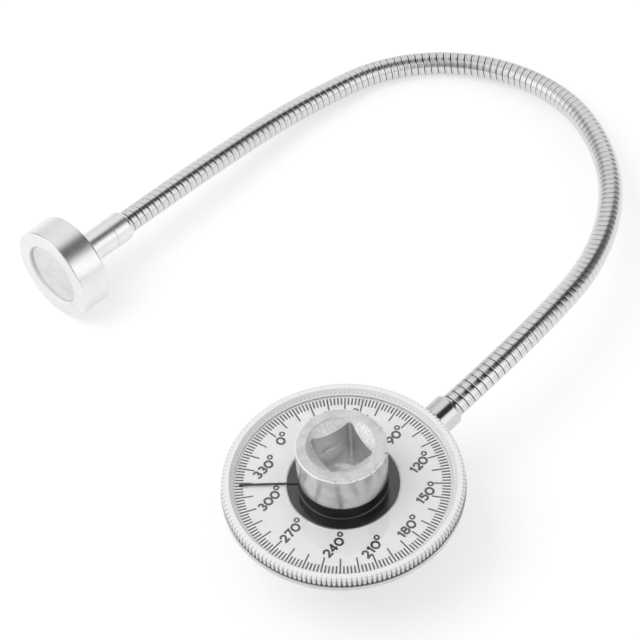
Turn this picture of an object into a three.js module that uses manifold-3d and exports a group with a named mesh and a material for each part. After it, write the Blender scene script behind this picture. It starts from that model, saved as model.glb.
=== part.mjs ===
// A torque angle gauge for a half inch square drive: a steel drive with a needle turns inside a dial
// that can be set to zero, and a jointed metal hose with a magnet at its end holds the base still.
// Millimetres, +Z up. The origin is the middle of the male square's end face, +X and +Y are square to
// its flats, and the three places that touch the bench are that face, the hose and the magnet cup.
import * as THREE from "three";
import { mergeVertices } from "three/addons/utils/BufferGeometryUtils.js";
import Module from "manifold-3d";

// Clearances that all pieces share
const fitGap = 0.3; // around round pieces that fit into each other
const seatGap = 0.1; // between flat faces that bear on each other
const runningGap = 0.2; // between the spindle and its bush
const cutOverrun = 1; // how far a cutter runs past the face that it opens

// Smoothness of round shapes, as side counts
const largeSides = 56;
const mediumSides = 32;
const smallSides = 20;
const tinySides = 12;

// Male square, with its sprung ball
const driveSquare = 12.7;
const driveSquareLength = 15.4;
const squareCornerCut = 0.75;
const squareTipChamfer = 0.8;
const ballRadius = 2.5;
const ballStandsOut = 1.2;
const ballHeight = 7.6;
const ballBoreDepth = 9.4;
const ballMouthDepth = 0.9;
const ballMouthLip = 0.35;
const springRadius = 1.9;
const springWire = 0.5;
const springCurls = 4;
const curlSteps = 8;
const curlSides = 5;

// Spindle and socket head
const spindleStandOut = 0.55; // past the male square's corners
const spindleShoulder = 0.8;
const spindleEdge = 0.5;
const journalStandOut = 0.2; // past the bush, on which it bears
const journalDrop = 0.5;
const headStandOut = 0.35; // past the pointer's collar
const headLength = 12.25;
const headEdge = 0.5;
const socketClearance = 0.1; // around a wrench's square, across flats
const socketCornerCut = 0.25;
const socketDepth = 16.5;
const countersinkRadius = 9.55;
const countersinkFloorRadius = 4.55;
const countersinkDepth = 3.4;
const ballGrooveDepth = 0.7;
const ballGrooveHeight = 3.6;
const ballGrooveDrop = 8.5;

// Retaining ring and wave washer under the base
const ringThickness = 1;
const ringGrooveDepth = 0.7;
const ringWidth = 2.2;
const ringMouth = 7;
const waveSpace = 1;
const waveThickness = 0.35;
const waveHeight = 0.12;
const waveWidth = 3.5;
const waveCount = 3;

// Fixed base under the dial
const baseRadius = 28;
const baseDepth = 6.45;
const baseWall = 2.5;
const baseFloor = 2;
const baseEdge = 0.6;
const flangeStandOut = 0.25; // past the clear cover
const flangeThickness = 1.5;
const flangeEdge = 0.25;
const pocketGap = 0.8; // around the scale plate
const pocketDepth = 0.8;
const bushWall = 1.2;
const bossWall = 2.4;
const frictionWasherThickness = 0.45;
const frictionWasherWidth = 4.6;

// Scale plate and clear knurled cover, which turn together
const plateRadius = 30.4;
const plateThickness = 0.6;
const coverSeat = 0.15;
const coverWindow = 0.6;
const coverRise = 2.66;
const coverRimWidth = 3.25;
const coverRimLand = 1.3;
const coverRimRound = 0.45;
const coverRimStep = 0.1;
const coverLip = 0.3;
const coverWall = 3.45; // from the scale plate's edge to the knurl's crests
const knurlDepth = 0.4;
const knurlPitch = 1.38;

// Pointer, which turns with the drive
const pointerDiscWidth = 3.37;
const pointerDiscThickness = 0.6;
const pointerSeat = 0.15;
const collarWall = 1.4;
const collarLength = 4.45;
const collarEdge = 0.3;
const needleShort = 1.5; // of the scale plate's edge
const needleWidth = 0.65;
const needleThickness = 0.35;
const needleGrip = 0.8;
const needleAngle = 152.7;

// Arm mount: where the hose leaves its ferrule, seen from the drive's axis
const armGap = 0.28; // between the flange and the ferrule
const armDrop = 0.75; // of the ferrule's mouth below the flange
const armAngle = 14;
const armClimb = 9.5;
const lugRadius = 3.4;
const lugLength = 12;
const studRadius = 2;
const studGrip = 2.8;
const studDepth = 10.6;
const studEdge = 0.3;
const grubRadius = 1.3;
const grubLength = 1;
const grubInset = 3.9;
const grubKeyShare = 0.5;

// Metal hose: seven stretches with a joint between each two, and a straight run at both ends
const hoseRadius = 3.8;
const hoseBoreRadius = 2.2;
const hoseStraight = 7.6;
const hoseStretch = 46.8;
const hoseSeat = 2.4;
const hoseTurns = [14.4, 24.2, 29.2, 49, 57.7, 11.4, -2.3];
const hoseClimbs = [-9.8, -9.9, -8.7, -3.6, 4.9, 7.9, 2.1];
const pathSteps = 24;
const ribPitch = 2.44;
const ribDepth = 0.35;
const ringPoints = 8;
const ribsPerBoreRing = 5;
const jointGap = 0.6; // between a joint's ball and its socket
const jointBallWall = 0.39;
const jointBallRingShares = [-0.45, 0, 0.6, 1];
const jointSocketWall = 0.1;
const jointRim = 1;
const jointShoulder = 0.8;
const jointSocketRingShares = [0.45, 0.8];

// Ferrules at the two ends of the hose, and the magnet's stem and cup
const ferruleWall = 0.8;
const ferruleWeb = 0.8; // between the hose and the stud
const ferruleChamfer = 0.9;
const ferruleEdge = 0.25;
const stemRadius = 4.8;
const stemLength = 12.85;
const stemEdge = 0.3;
const cupRadius = 15.2;
const cupLength = 10.3;
const cupEdge = 0.7;
const recessRadius = 10.15;
const magnetSink = 0.8;
const magnetThickness = 3.5;
const magnetEdge = 0.3;
const spacerThickness = 2.1;
const screwRadius = 1.5;
const screwLength = 8;
const screwHeadRadius = 3.2;
const screwHeadThickness = 1.8;
const screwKeyRadius = 1.4;
const screwKeyDepth = 1;
const keySides = 6;

// Heights above the origin, from the square's end upwards
const ringBottom = driveSquareLength + spindleShoulder;
const ringTop = ringBottom + ringThickness;
const baseBottom = ringTop + waveSpace;
const flangeBottom = baseBottom + baseDepth;
const flangeTop = flangeBottom + flangeThickness;
const pocketFloor = flangeTop - pocketDepth;
const washerBottom = pocketFloor + seatGap;
const plateBottom = washerBottom + frictionWasherThickness + seatGap;
const plateTop = plateBottom + plateThickness;
const discBottom = plateTop + pointerSeat;
const discTop = discBottom + pointerDiscThickness;
const collarTop = discTop + collarLength;
const headBottom = collarTop + pointerSeat;
const headTop = headBottom + headLength;
const socketFloor = headTop - socketDepth;
const journalBottom = socketFloor - journalDrop;

// Radii that follow from the pieces inside, from the drive outwards
const socketSquare = driveSquare + socketClearance;
const squareCornerRadius = (driveSquare - squareCornerCut) * Math.SQRT1_2;
const spindleRadius = squareCornerRadius + spindleStandOut;
const ringRadius = spindleRadius + ringWidth;
const waveRadius = spindleRadius + waveWidth;
const bushInner = spindleRadius + runningGap;
const bushOuter = bushInner + bushWall;
const bossRadius = bushOuter + fitGap + bossWall;
const journalRadius = bushOuter + journalStandOut;
const collarRadius = journalRadius + fitGap + collarWall;
const headRadius = collarRadius + headStandOut;
const pointerDiscRadius = collarRadius + pointerDiscWidth;
const needleReach = plateRadius - needleShort;
const pocketRadius = plateRadius + pocketGap;
const knurlRadius = plateRadius + coverWall;
const flangeRadius = knurlRadius + flangeStandOut;
const magnetRadius = recessRadius - fitGap;
const screwHoleRadius = screwRadius + fitGap;

// Sizes of the ferrules and of the hose's joints, which follow from the hose
const ferruleRadius = hoseRadius + fitGap + ferruleWall;
const ferruleLength = hoseSeat + fitGap + ferruleWeb + fitGap + studGrip;
const jointSocketRadius = hoseRadius - jointSocketWall;
const jointBallRadius = jointSocketRadius - jointGap;
const jointBallReach = sphereAt(jointBallRadius, hoseBoreRadius + jointBallWall);

// Where the ferrule on the base has its mouth: beside the flange, as close as its tilt lets it
const armTilt = radians(armClimb);
const ferruleDepth = ferruleLength * Math.cos(armTilt) + ferruleRadius * Math.sin(armTilt);
const armReach = flangeRadius + armGap + ferruleDepth;
const armHeight = flangeBottom - armDrop;

// Places along the arm mount's axis, from the ferrule's mouth back into the base
const lugFace = -ferruleLength - fitGap;
const studEnd = lugFace - studDepth;
const grubPlace = lugFace - grubInset;

// Places along the magnet's axis, from the ferrule's mouth on to the cup's face
const stemStart = ferruleLength + fitGap;
const cupStart = stemStart + stemLength + fitGap;
const cupFace = cupStart + cupLength;
const magnetFace = cupFace - magnetSink;
const spacerFace = magnetFace - magnetThickness - fitGap;
const spacerBack = spacerFace - spacerThickness;
const recessFloor = spacerBack - fitGap;
const screwEnd = spacerBack - screwLength;

const finishes = {
  brushedSteel: new THREE.MeshStandardMaterial({ color: 0xb4b4b4, roughness: 0.38, metalness: 1 }),
  springSteel: new THREE.MeshStandardMaterial({ color: 0x8d8d8d, roughness: 0.35, metalness: 1 }),
  chrome: new THREE.MeshStandardMaterial({ color: 0xd9d9d9, roughness: 0.16, metalness: 1 }),
  satinNickel: new THREE.MeshStandardMaterial({ color: 0xe4e4e4, roughness: 0.34, metalness: 1 }),
  brightNickel: new THREE.MeshStandardMaterial({ color: 0xcfcfcf, roughness: 0.3, metalness: 1 }),
  satinAlloy: new THREE.MeshStandardMaterial({ color: 0xdedede, roughness: 0.4, metalness: 1 }),
  bronze: new THREE.MeshStandardMaterial({ color: 0xa78a5a, roughness: 0.45, metalness: 1 }),
  blackPlastic: new THREE.MeshStandardMaterial({ color: 0x2b2b2b, roughness: 0.3, metalness: 0 }),
  blackRubber: new THREE.MeshStandardMaterial({ color: 0x2e2e2e, roughness: 0.8, metalness: 0 }),
  scaleWhite: new THREE.MeshStandardMaterial({ color: 0xe6e6e6, roughness: 0.45, metalness: 0 }),
  clearPlastic: new THREE.MeshStandardMaterial({
    color: 0xf4f4f4,
    roughness: 0.08,
    metalness: 0,
    transparent: true,
    opacity: 0.35,
  }),
};

const wasm = await Module();
wasm.setup();

// A closed geometry as a solid that can be joined and cut.
function solidOf(geometry) {
  const bare = geometry.clone();
  bare.deleteAttribute("normal");
  bare.deleteAttribute("uv");
  const merged = mergeVertices(bare);
  const corners = merged.index.array;
  const kept = [];
  for (let i = 0; i < corners.length; i += 3) {
    const [a, b, c] = corners.slice(i, i + 3);
    if (a !== b && b !== c && c !== a) kept.push(a, b, c);
  }
  return new wasm.Manifold(
    new wasm.Mesh({
      numProp: 3,
      vertProperties: merged.attributes.position.array,
      triVerts: new Uint32Array(kept),
    }),
  );
}

// A geometry joined with some others and then cut by some.
function shaped(geometry, { add = [], cut = [] }) {
  let solid = solidOf(geometry);
  for (const piece of add) solid = solid.add(solidOf(piece));
  for (const piece of cut) solid = solid.subtract(solidOf(piece));
  const mesh = solid.getMesh();
  const result = new THREE.BufferGeometry();
  result.setAttribute("position", new THREE.BufferAttribute(mesh.vertProperties, mesh.numProp));
  result.setIndex(new THREE.BufferAttribute(mesh.triVerts, 1));
  result.computeVertexNormals();
  return result;
}

// A profile of [radius, height] points, from the axis up the outside to the axis, turned about Z.
function turned(profile, sides) {
  const points = profile.map(([radius, height]) => new THREE.Vector2(radius, height));
  return new THREE.LatheGeometry(points, sides).rotateX(Math.PI / 2);
}

// A turned piece with a hole: its closed [radius, height] section goes up the outside.
function turnedRing(section, sides) {
  return turned([...section, section[0]], sides);
}

// A cylinder between two heights.
function plug(radius, bottom, top, sides) {
  return turned([[0, bottom], [radius, bottom], [radius, top], [0, top]], sides);
}

// A cylinder between two heights, with an edge cut off at both ends.
function pin(radius, bottom, top, edge, sides) {
  const profile = [
    [0, bottom],
    [radius - edge, bottom],
    [radius, bottom + edge],
    [radius, top - edge],
    [radius - edge, top],
    [0, top],
  ];
  return turned(profile, sides);
}

// A ring of rectangular section between two heights.
function washer(inner, outer, bottom, top, sides) {
  return turnedRing([[inner, bottom], [outer, bottom], [outer, top], [inner, top]], sides);
}

// An outline of [x, y] points extruded between two heights.
function prism(outline, bottom, top) {
  const shape = new THREE.Shape(outline.map(([x, y]) => new THREE.Vector2(x, y)));
  const options = { depth: top - bottom, bevelEnabled: false };
  return new THREE.ExtrudeGeometry(shape, options).translate(0, 0, bottom);
}

// A box that starts at one distance from the Z axis and ends at another, along +X.
function bar(start, end, width, bottom, top) {
  const half = width / 2;
  return prism([[start, -half], [end, -half], [end, half], [start, half]], bottom, top);
}

// A square outline with its corners cut off at 45 degrees.
function cutSquare(width, corner) {
  const half = width / 2;
  const inner = half - corner;
  return [
    [half, -inner], [half, inner], [inner, half], [-inner, half],
    [-half, inner], [-half, -inner], [-inner, -half], [inner, -half],
  ];
}

// A surface over rings of equally many points, which go round the direction in which the rings follow
// each other. The last ring joins the first one, or both ends are closed.
function ringSolid(rings, endsMeet) {
  const count = rings[0].length;
  const positions = rings.flat().flatMap((point) => point.toArray());
  const faces = [];
  const bands = endsMeet ? rings.length : rings.length - 1;
  for (let i = 0; i < bands; i++) {
    const here = i * count;
    const next = ((i + 1) % rings.length) * count;
    for (let j = 0; j < count; j++) {
      const k = (j + 1) % count;
      faces.push(here + j, here + k, next + k, here + j, next + k, next + j);
    }
  }
  if (!endsMeet) {
    const end = (rings.length - 1) * count;
    for (let j = 1; j < count - 1; j++) {
      faces.push(0, j + 1, j, end, end + j, end + j + 1);
    }
  }
  const geometry = new THREE.BufferGeometry();
  geometry.setAttribute("position", new THREE.Float32BufferAttribute(positions, 3));
  geometry.setIndex(faces);
  geometry.computeVertexNormals();
  return geometry;
}

// A named mesh.
function piece(name, geometry, material) {
  const mesh = new THREE.Mesh(geometry, material);
  mesh.name = name;
  return mesh;
}

function groupOf(...pieces) {
  const group = new THREE.Group();
  group.add(...pieces);
  return group;
}

// The steel drive, in one piece: male square, spindle, journal and socket head.
function driveBody() {
  const square = prism(cutSquare(driveSquare, squareCornerCut), 0, driveSquareLength + seatGap);
  const tipCut = turnedRing(
    [
      [squareCornerRadius - squareTipChamfer, 0],
      [squareCornerRadius + cutOverrun, -cutOverrun],
      [squareCornerRadius + cutOverrun, squareTipChamfer + cutOverrun],
    ],
    mediumSides,
  );
  const grooveRadius = spindleRadius - ringGrooveDepth;
  const spindle = turned(
    [
      [0, driveSquareLength],
      [spindleRadius - spindleEdge, driveSquareLength],
      [spindleRadius, driveSquareLength + spindleEdge],
      [spindleRadius, ringBottom - seatGap],
      [grooveRadius, ringBottom - seatGap],
      [grooveRadius, ringTop + seatGap],
      [spindleRadius, ringTop + seatGap],
      [spindleRadius, journalBottom],
      [journalRadius, journalBottom],
      [journalRadius, headBottom],
      [headRadius - headEdge, headBottom],
      [headRadius, headBottom + headEdge],
      [headRadius, headTop - headEdge],
      [headRadius - headEdge, headTop],
      [0, headTop],
    ],
    largeSides,
  );
  const socket = prism(cutSquare(socketSquare, socketCornerCut), socketFloor, headTop + cutOverrun);
  const slope = (countersinkRadius - countersinkFloorRadius) / countersinkDepth;
  const countersink = turned(
    [
      [0, headTop - countersinkDepth],
      [countersinkFloorRadius, headTop - countersinkDepth],
      [countersinkRadius + slope * cutOverrun, headTop + cutOverrun],
      [0, headTop + cutOverrun],
    ],
    mediumSides,
  );
  return shaped(square, {
    add: [spindle],
    cut: [tipCut, socket, countersink, socketGroove(), ballBore()],
  });
}

// The groove for a wrench's ball, of curved section, which leaves a lens on each wall of the socket.
function socketGroove() {
  const steps = 6;
  const wall = socketSquare / 2;
  const middle = headTop - ballGrooveDrop;
  const side = Array.from({ length: steps + 1 }, (_, i) => {
    const share = (2 * i) / steps - 1;
    const radius = wall + ballGrooveDepth * (1 - 2 * share * share);
    return [radius, middle + (share * ballGrooveHeight) / 2];
  });
  return turned([[0, side[0][1]], ...side, [0, side[steps][1]]], smallSides);
}

// The blind bore for the ball and its spring, cut into the flat that faces -Y.
function ballBore() {
  const boreRadius = ballRadius + fitGap;
  const bore = turned(
    [
      [0, -ballBoreDepth],
      [boreRadius, -ballBoreDepth],
      [boreRadius, -ballMouthDepth],
      [boreRadius - ballMouthLip, 0],
      [boreRadius - ballMouthLip, cutOverrun],
      [0, cutOverrun],
    ],
    smallSides,
  );
  return bore.rotateX(Math.PI / 2).translate(0, -driveSquare / 2, ballHeight);
}

// The ball and its spring, in a frame whose Z goes from the flat's face into the square.
function detent() {
  const ballDepth = ballRadius - ballStandsOut;
  const ball = piece(
    "detent_ball",
    new THREE.SphereGeometry(ballRadius, tinySides, tinySides / 2),
    finishes.springSteel,
  );
  ball.position.z = ballDepth;
  const springFront = ballDepth + ballRadius + fitGap;
  const springBack = ballBoreDepth - fitGap;
  const spring = piece("detent_spring", helix(springFront, springBack), finishes.springSteel);
  const group = groupOf(ball, spring);
  group.position.set(0, -driveSquare / 2, ballHeight);
  group.rotation.x = -Math.PI / 2;
  return group;
}

// A coil spring as one unbroken tube about Z, between two heights.
function helix(bottom, top) {
  const steps = springCurls * curlSteps;
  const coilRadius = springRadius - springWire / 2;
  const climb = (top - bottom - springWire) / steps;
  const pointAt = (i) => {
    const turn = (2 * Math.PI * i) / curlSteps;
    const height = bottom + springWire / 2 + climb * i;
    return new THREE.Vector3(coilRadius * Math.cos(turn), coilRadius * Math.sin(turn), height);
  };
  const points = Array.from({ length: steps + 1 }, (_, i) => pointAt(i));
  const rings = points.map((point, i) => {
    const along = pointAt(i + 1).sub(pointAt(i - 1)).normalize();
    const outward = new THREE.Vector3(point.x, point.y, 0).normalize();
    const across = new THREE.Vector3().crossVectors(along, outward).normalize();
    return Array.from({ length: curlSides }, (_, j) => {
      const angle = (2 * Math.PI * j) / curlSides;
      const side = outward.clone().multiplyScalar(Math.cos(angle));
      side.addScaledVector(across, Math.sin(angle));
      return point.clone().addScaledVector(side, springWire / 2);
    });
  });
  let leastGap = Infinity;
  points.forEach((point, i) => {
    for (const other of points.slice(i + curlSteps / 2)) {
      leastGap = Math.min(leastGap, point.distanceTo(other) - springWire);
    }
  });
  console.log("detent spring: least gap to itself " + leastGap.toFixed(2) + " mm");
  return ringSolid(rings, false);
}

// The open steel ring that snaps into the spindle's groove and carries the wave washer.
function retainingRing() {
  const inner = spindleRadius - ringGrooveDepth + fitGap;
  const ring = washer(inner, ringRadius, ringBottom, ringTop, mediumSides);
  const mouth = bar(0, ringRadius + cutOverrun, ringMouth, ringBottom - cutOverrun, ringTop + cutOverrun);
  return shaped(ring, { cut: [mouth] });
}

// The thin waved spring washer between the retaining ring and the base.
function waveWasher() {
  const inner = spindleRadius + fitGap;
  const middle = (ringTop + baseBottom) / 2;
  const rings = Array.from({ length: mediumSides }, (_, i) => {
    const turn = (-2 * Math.PI * i) / mediumSides;
    const height = middle + waveHeight * Math.sin(waveCount * turn);
    const corner = (radius, side) => {
      const x = radius * Math.cos(turn);
      const y = radius * Math.sin(turn);
      return new THREE.Vector3(x, y, height + (side * waveThickness) / 2);
    };
    return [corner(inner, -1), corner(waveRadius, -1), corner(waveRadius, 1), corner(inner, 1)];
  });
  return ringSolid(rings, true);
}

// The fixed base: an open shell with a boss for the bush, a flange for the dial and a lug for the arm.
function baseHousing() {
  const inside = baseRadius - baseWall;
  const shell = turnedRing(
    [
      [bushOuter + fitGap, baseBottom],
      [baseRadius - baseEdge, baseBottom],
      [baseRadius, baseBottom + baseEdge],
      [baseRadius, flangeBottom],
      [flangeRadius - flangeEdge, flangeBottom],
      [flangeRadius, flangeBottom + flangeEdge],
      [flangeRadius, flangeTop - flangeEdge],
      [flangeRadius - flangeEdge, flangeTop],
      [pocketRadius, flangeTop],
      [pocketRadius, pocketFloor],
      [inside, pocketFloor],
      [inside, baseBottom + baseFloor],
      [bossRadius, baseBottom + baseFloor],
      [bossRadius, plateTop - seatGap],
      [bushOuter + fitGap, plateTop - seatGap],
    ],
    largeSides,
  );
  const lug = onArmMount(plug(lugRadius, lugFace - lugLength, lugFace, smallSides));
  const studBore = onArmMount(plug(studRadius + fitGap, studEnd, lugFace + cutOverrun, smallSides));
  const grubBore = plug(grubRadius + fitGap, 0, lugRadius + cutOverrun, tinySides);
  const grubHole = onArmMount(grubBore.rotateX(Math.PI / 2).translate(0, 0, grubPlace));
  const underside = plug(flangeRadius, baseBottom - lugRadius, baseBottom, tinySides);
  return shaped(shell, { add: [lug], cut: [underside, studBore, grubHole] });
}

// The knurled outline of the clear cover's rim, of grooves with a tooth between each two.
function knurlOutline() {
  const teeth = Math.round((2 * Math.PI * knurlRadius) / knurlPitch);
  return Array.from({ length: 2 * teeth }, (_, i) => {
    const radius = i % 2 ? knurlRadius - knurlDepth : knurlRadius;
    const turn = (Math.PI * i) / teeth;
    return [radius * Math.cos(turn), radius * Math.sin(turn)];
  });
}

// The clear cover: a flat window over the scale inside a raised, knurled rim.
function clearCover() {
  const bottom = plateTop - seatGap;
  const windowBottom = plateTop + coverSeat;
  const windowTop = windowBottom + coverWindow;
  const top = plateTop + coverRise;
  const knurlTop = top - coverRimRound;
  const shoulder = knurlRadius - knurlDepth - coverRimStep;
  const landOuter = shoulder - coverRimRound;
  const landInner = landOuter - coverRimLand;
  const rim = turned(
    [
      [0, windowBottom],
      [shoulder, windowBottom],
      [shoulder, knurlTop],
      [landOuter, top],
      [0, top],
    ],
    largeSides,
  );
  const well = turned(
    [
      [0, windowTop],
      [knurlRadius - coverRimWidth, windowTop],
      [landInner - coverLip, top - coverLip],
      [landInner, top],
      [landInner, top + cutOverrun],
      [0, top + cutOverrun],
    ],
    largeSides,
  );
  const pocket = plug(plateRadius + fitGap, bottom - cutOverrun, windowBottom, largeSides);
  const hole = plug(pointerDiscRadius + fitGap, bottom, windowTop + cutOverrun, largeSides);
  return shaped(prism(knurlOutline(), bottom, knurlTop), { add: [rim], cut: [well, pocket, hole] });
}

// The black disc and collar that are pressed on the journal, with a slot for the needle.
function pointerHub() {
  const bore = journalRadius + fitGap;
  const hub = turnedRing(
    [
      [bore, discBottom],
      [pointerDiscRadius, discBottom],
      [pointerDiscRadius, discTop],
      [collarRadius, discTop],
      [collarRadius, collarTop - collarEdge],
      [collarRadius - collarEdge, collarTop],
      [bore, collarTop],
    ],
    largeSides,
  );
  const root = collarRadius - needleGrip - fitGap;
  const width = needleWidth + 2 * seatGap;
  const slotTop = discTop + needleThickness + 2 * seatGap;
  const slot = bar(root, collarRadius + cutOverrun, width, discTop, slotTop);
  return shaped(hub, { cut: [slot.rotateZ(radians(needleAngle))] });
}

function needle() {
  const bottom = discTop + seatGap;
  const root = collarRadius - needleGrip;
  return bar(root, needleReach, needleWidth, bottom, bottom + needleThickness);
}

// A ferrule, with its mouth at height zero and its body below: the hose fits into the mouth, and a stud
// or spigot into the other end.
function ferrule() {
  const webTop = -hoseSeat - fitGap;
  const webBottom = studGrip + fitGap - ferruleLength;
  const mouth = hoseRadius + fitGap;
  const bore = studRadius + fitGap;
  const profile = [
    [0, webBottom],
    [bore, webBottom],
    [bore, -ferruleLength],
    [ferruleRadius - ferruleEdge, -ferruleLength],
    [ferruleRadius, ferruleEdge - ferruleLength],
    [ferruleRadius, -ferruleChamfer],
    [Math.max(ferruleRadius - ferruleChamfer, mouth + seatGap), 0],
    [mouth, 0],
    [mouth, webTop],
    [0, webTop],
  ];
  return turned(profile, mediumSides);
}

function grubScrew() {
  const top = studRadius + fitGap + grubLength;
  const keyDepth = grubLength * grubKeyShare;
  const key = plug(grubRadius / 2, top - keyDepth, top + cutOverrun, keySides);
  const screw = shaped(plug(grubRadius, top - grubLength, top, tinySides), { cut: [key] });
  return screw.rotateX(Math.PI / 2);
}

// The turned neck between the ferrule and the cup, with a spigot and a blind bore for the cup's screw.
function magnetStem() {
  const end = cupStart - fitGap;
  const bore = screwHoleRadius;
  const boreEnd = screwEnd - fitGap;
  const profile = [
    [0, ferruleLength - studGrip],
    [studRadius, ferruleLength - studGrip],
    [studRadius, stemStart],
    [stemRadius - stemEdge, stemStart],
    [stemRadius, stemStart + stemEdge],
    [stemRadius, end - stemEdge],
    [stemRadius - stemEdge, end],
    [bore, end],
    [bore, boreEnd],
    [0, boreEnd],
  ];
  return turned(profile, mediumSides);
}

function magnetCup() {
  const section = [
    [screwHoleRadius, cupStart],
    [cupRadius - cupEdge, cupStart],
    [cupRadius, cupStart + cupEdge],
    [cupRadius, cupFace - cupEdge],
    [cupRadius - cupEdge, cupFace],
    [recessRadius, cupFace],
    [recessRadius, recessFloor],
    [screwHoleRadius, recessFloor],
  ];
  return turnedRing(section, largeSides);
}

function cupScrew() {
  const headTopPlace = spacerBack + screwHeadThickness;
  const screw = turned(
    [
      [0, screwEnd],
      [screwRadius, screwEnd],
      [screwRadius, spacerBack],
      [screwHeadRadius, spacerBack],
      [screwHeadRadius, headTopPlace],
      [0, headTopPlace],
    ],
    smallSides,
  );
  const key = plug(screwKeyRadius, headTopPlace - screwKeyDepth, headTopPlace + cutOverrun, keySides);
  return shaped(screw, { cut: [key] });
}

function radians(degrees) {
  return THREE.MathUtils.degToRad(degrees);
}

// The direction of a heading and a climb, in radians.
function direction(heading, climb) {
  const level = Math.cos(climb);
  return new THREE.Vector3(level * Math.cos(heading), level * Math.sin(heading), Math.sin(climb));
}

// A frame at a point: Z along a heading and a climb, X level and to the left, and Y up.
function frameAt(point, heading, climb) {
  const along = direction(heading, climb);
  const left = new THREE.Vector3(-Math.sin(heading), Math.cos(heading), 0);
  const up = new THREE.Vector3().crossVectors(along, left);
  return new THREE.Matrix4().makeBasis(left, up, along).setPosition(point);
}

// The frame of the arm's mount, at the mouth of the ferrule on the base.
function armMountFrame() {
  const heading = radians(armAngle);
  const x = armReach * Math.cos(heading);
  const y = armReach * Math.sin(heading);
  return frameAt(new THREE.Vector3(x, y, armHeight), heading, armTilt);
}

function onArmMount(geometry) {
  return geometry.applyMatrix4(armMountFrame());
}

// The hose's stretches: where each one starts, and how its heading and climb change along it.
function hoseStretches() {
  const stretches = [];
  let heading = radians(armAngle);
  let climb = armTilt;
  let start = new THREE.Vector3().setFromMatrixPosition(armMountFrame());
  start.addScaledVector(direction(heading, climb), hoseStraight);
  hoseTurns.forEach((turn, i) => {
    const endClimb = radians(hoseClimbs[i]);
    const stretch = { start, heading, climb, turn: radians(turn), rise: endClimb - climb };
    stretches.push(stretch);
    start = new THREE.Vector3().setFromMatrixPosition(hoseFrame(stretch, hoseStretch));
    heading += radians(turn);
    climb = endClimb;
  });
  return stretches;
}

// The frame on the hose's middle line at a distance from a stretch's start: steps along the bend, and
// straight on before and after it.
function hoseFrame(stretch, distance) {
  const inBend = THREE.MathUtils.clamp(distance, 0, hoseStretch);
  const point = stretch.start.clone();
  const headingAt = (share) => stretch.heading + stretch.turn * share;
  const climbAt = (share) => stretch.climb + stretch.rise * share;
  const bendShare = inBend / hoseStretch;
  for (let i = 0; i < pathSteps; i++) {
    const share = (bendShare * (i + 1 / 2)) / pathSteps;
    point.addScaledVector(direction(headingAt(share), climbAt(share)), inBend / pathSteps);
  }
  const heading = headingAt(bendShare);
  const climb = climbAt(bendShare);
  point.addScaledVector(direction(heading, climb), distance - inBend);
  return frameAt(point, heading, climb);
}

// A ring of points round the hose at a distance along a stretch.
function hoseRing(stretch, distance, radius) {
  const frame = hoseFrame(stretch, distance);
  return Array.from({ length: ringPoints }, (_, j) => {
    const angle = (2 * Math.PI * (j + 1 / 2)) / ringPoints;
    const point = new THREE.Vector3(radius * Math.cos(angle), radius * Math.sin(angle), 0);
    return point.applyMatrix4(frame);
  });
}

// How far from the axis a sphere about a joint reaches at a distance along the hose.
function sphereAt(sphereRadius, distance) {
  return Math.sqrt(sphereRadius * sphereRadius - distance * distance);
}

// One stretch of hose: ribs outside, a bore inside, a socket where it takes the last stretch's ball and
// a ball for the next stretch. The ends in the ferrules are plain.
function hosePiece(stretch, index) {
  const first = index === 0;
  const last = index === hoseTurns.length - 1;
  const start = first ? -hoseStraight - hoseSeat : jointRim;
  const end = last ? hoseStretch + hoseStraight + hoseSeat : hoseStretch - jointShoulder;
  const ribs = Math.round((end - start) / ribPitch);
  const halfRib = (end - start) / (2 * ribs - 1);
  const outside = [];
  for (let i = 0; i < 2 * ribs; i++) {
    outside.push([start + i * halfRib, i % 2 ? hoseRadius - ribDepth : hoseRadius]);
  }
  if (!last) {
    for (const share of jointBallRingShares) {
      const distance = jointBallReach * share;
      outside.push([hoseStretch + distance, sphereAt(jointBallRadius, distance)]);
    }
  }
  const boreStart = first ? start : sphereAt(jointSocketRadius, hoseBoreRadius);
  const boreEnd = last ? end : hoseStretch + jointBallReach;
  const boreBands = Math.round(ribs / ribsPerBoreRing);
  const bore = Array.from({ length: boreBands + 1 }, (_, i) => {
    return [boreStart + ((boreEnd - boreStart) * i) / boreBands, hoseBoreRadius];
  });
  if (!first) {
    const socket = [jointRim, ...jointSocketRingShares.map((share) => boreStart * share)];
    const socketRings = socket.map((distance) => [distance, sphereAt(jointSocketRadius, distance)]);
    bore.unshift(...socketRings.sort((a, b) => a[0] - b[0]));
  }
  const profile = [...outside, ...bore.reverse()];
  return ringSolid(
    profile.map(([distance, radius]) => hoseRing(stretch, distance, radius)),
    true,
  );
}

// The pieces that turn with the drive.
function drive() {
  const pointer = piece("needle", needle(), finishes.blackPlastic);
  pointer.rotation.z = radians(needleAngle);
  return groupOf(
    piece("drive_body", driveBody(), finishes.brushedSteel),
    piece("pointer_hub", pointerHub(), finishes.blackPlastic),
    piece("retaining_ring", retainingRing(), finishes.springSteel),
    pointer,
    detent(),
  );
}

// The dial, which the hand turns to bring its zero under the needle.
function dial() {
  const plateBore = bossRadius + fitGap;
  const plate = washer(plateBore, plateRadius, plateBottom, plateTop, largeSides);
  return groupOf(
    piece("scale_plate", plate, finishes.scaleWhite),
    piece("clear_cover", clearCover(), finishes.clearPlastic),
  );
}

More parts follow.
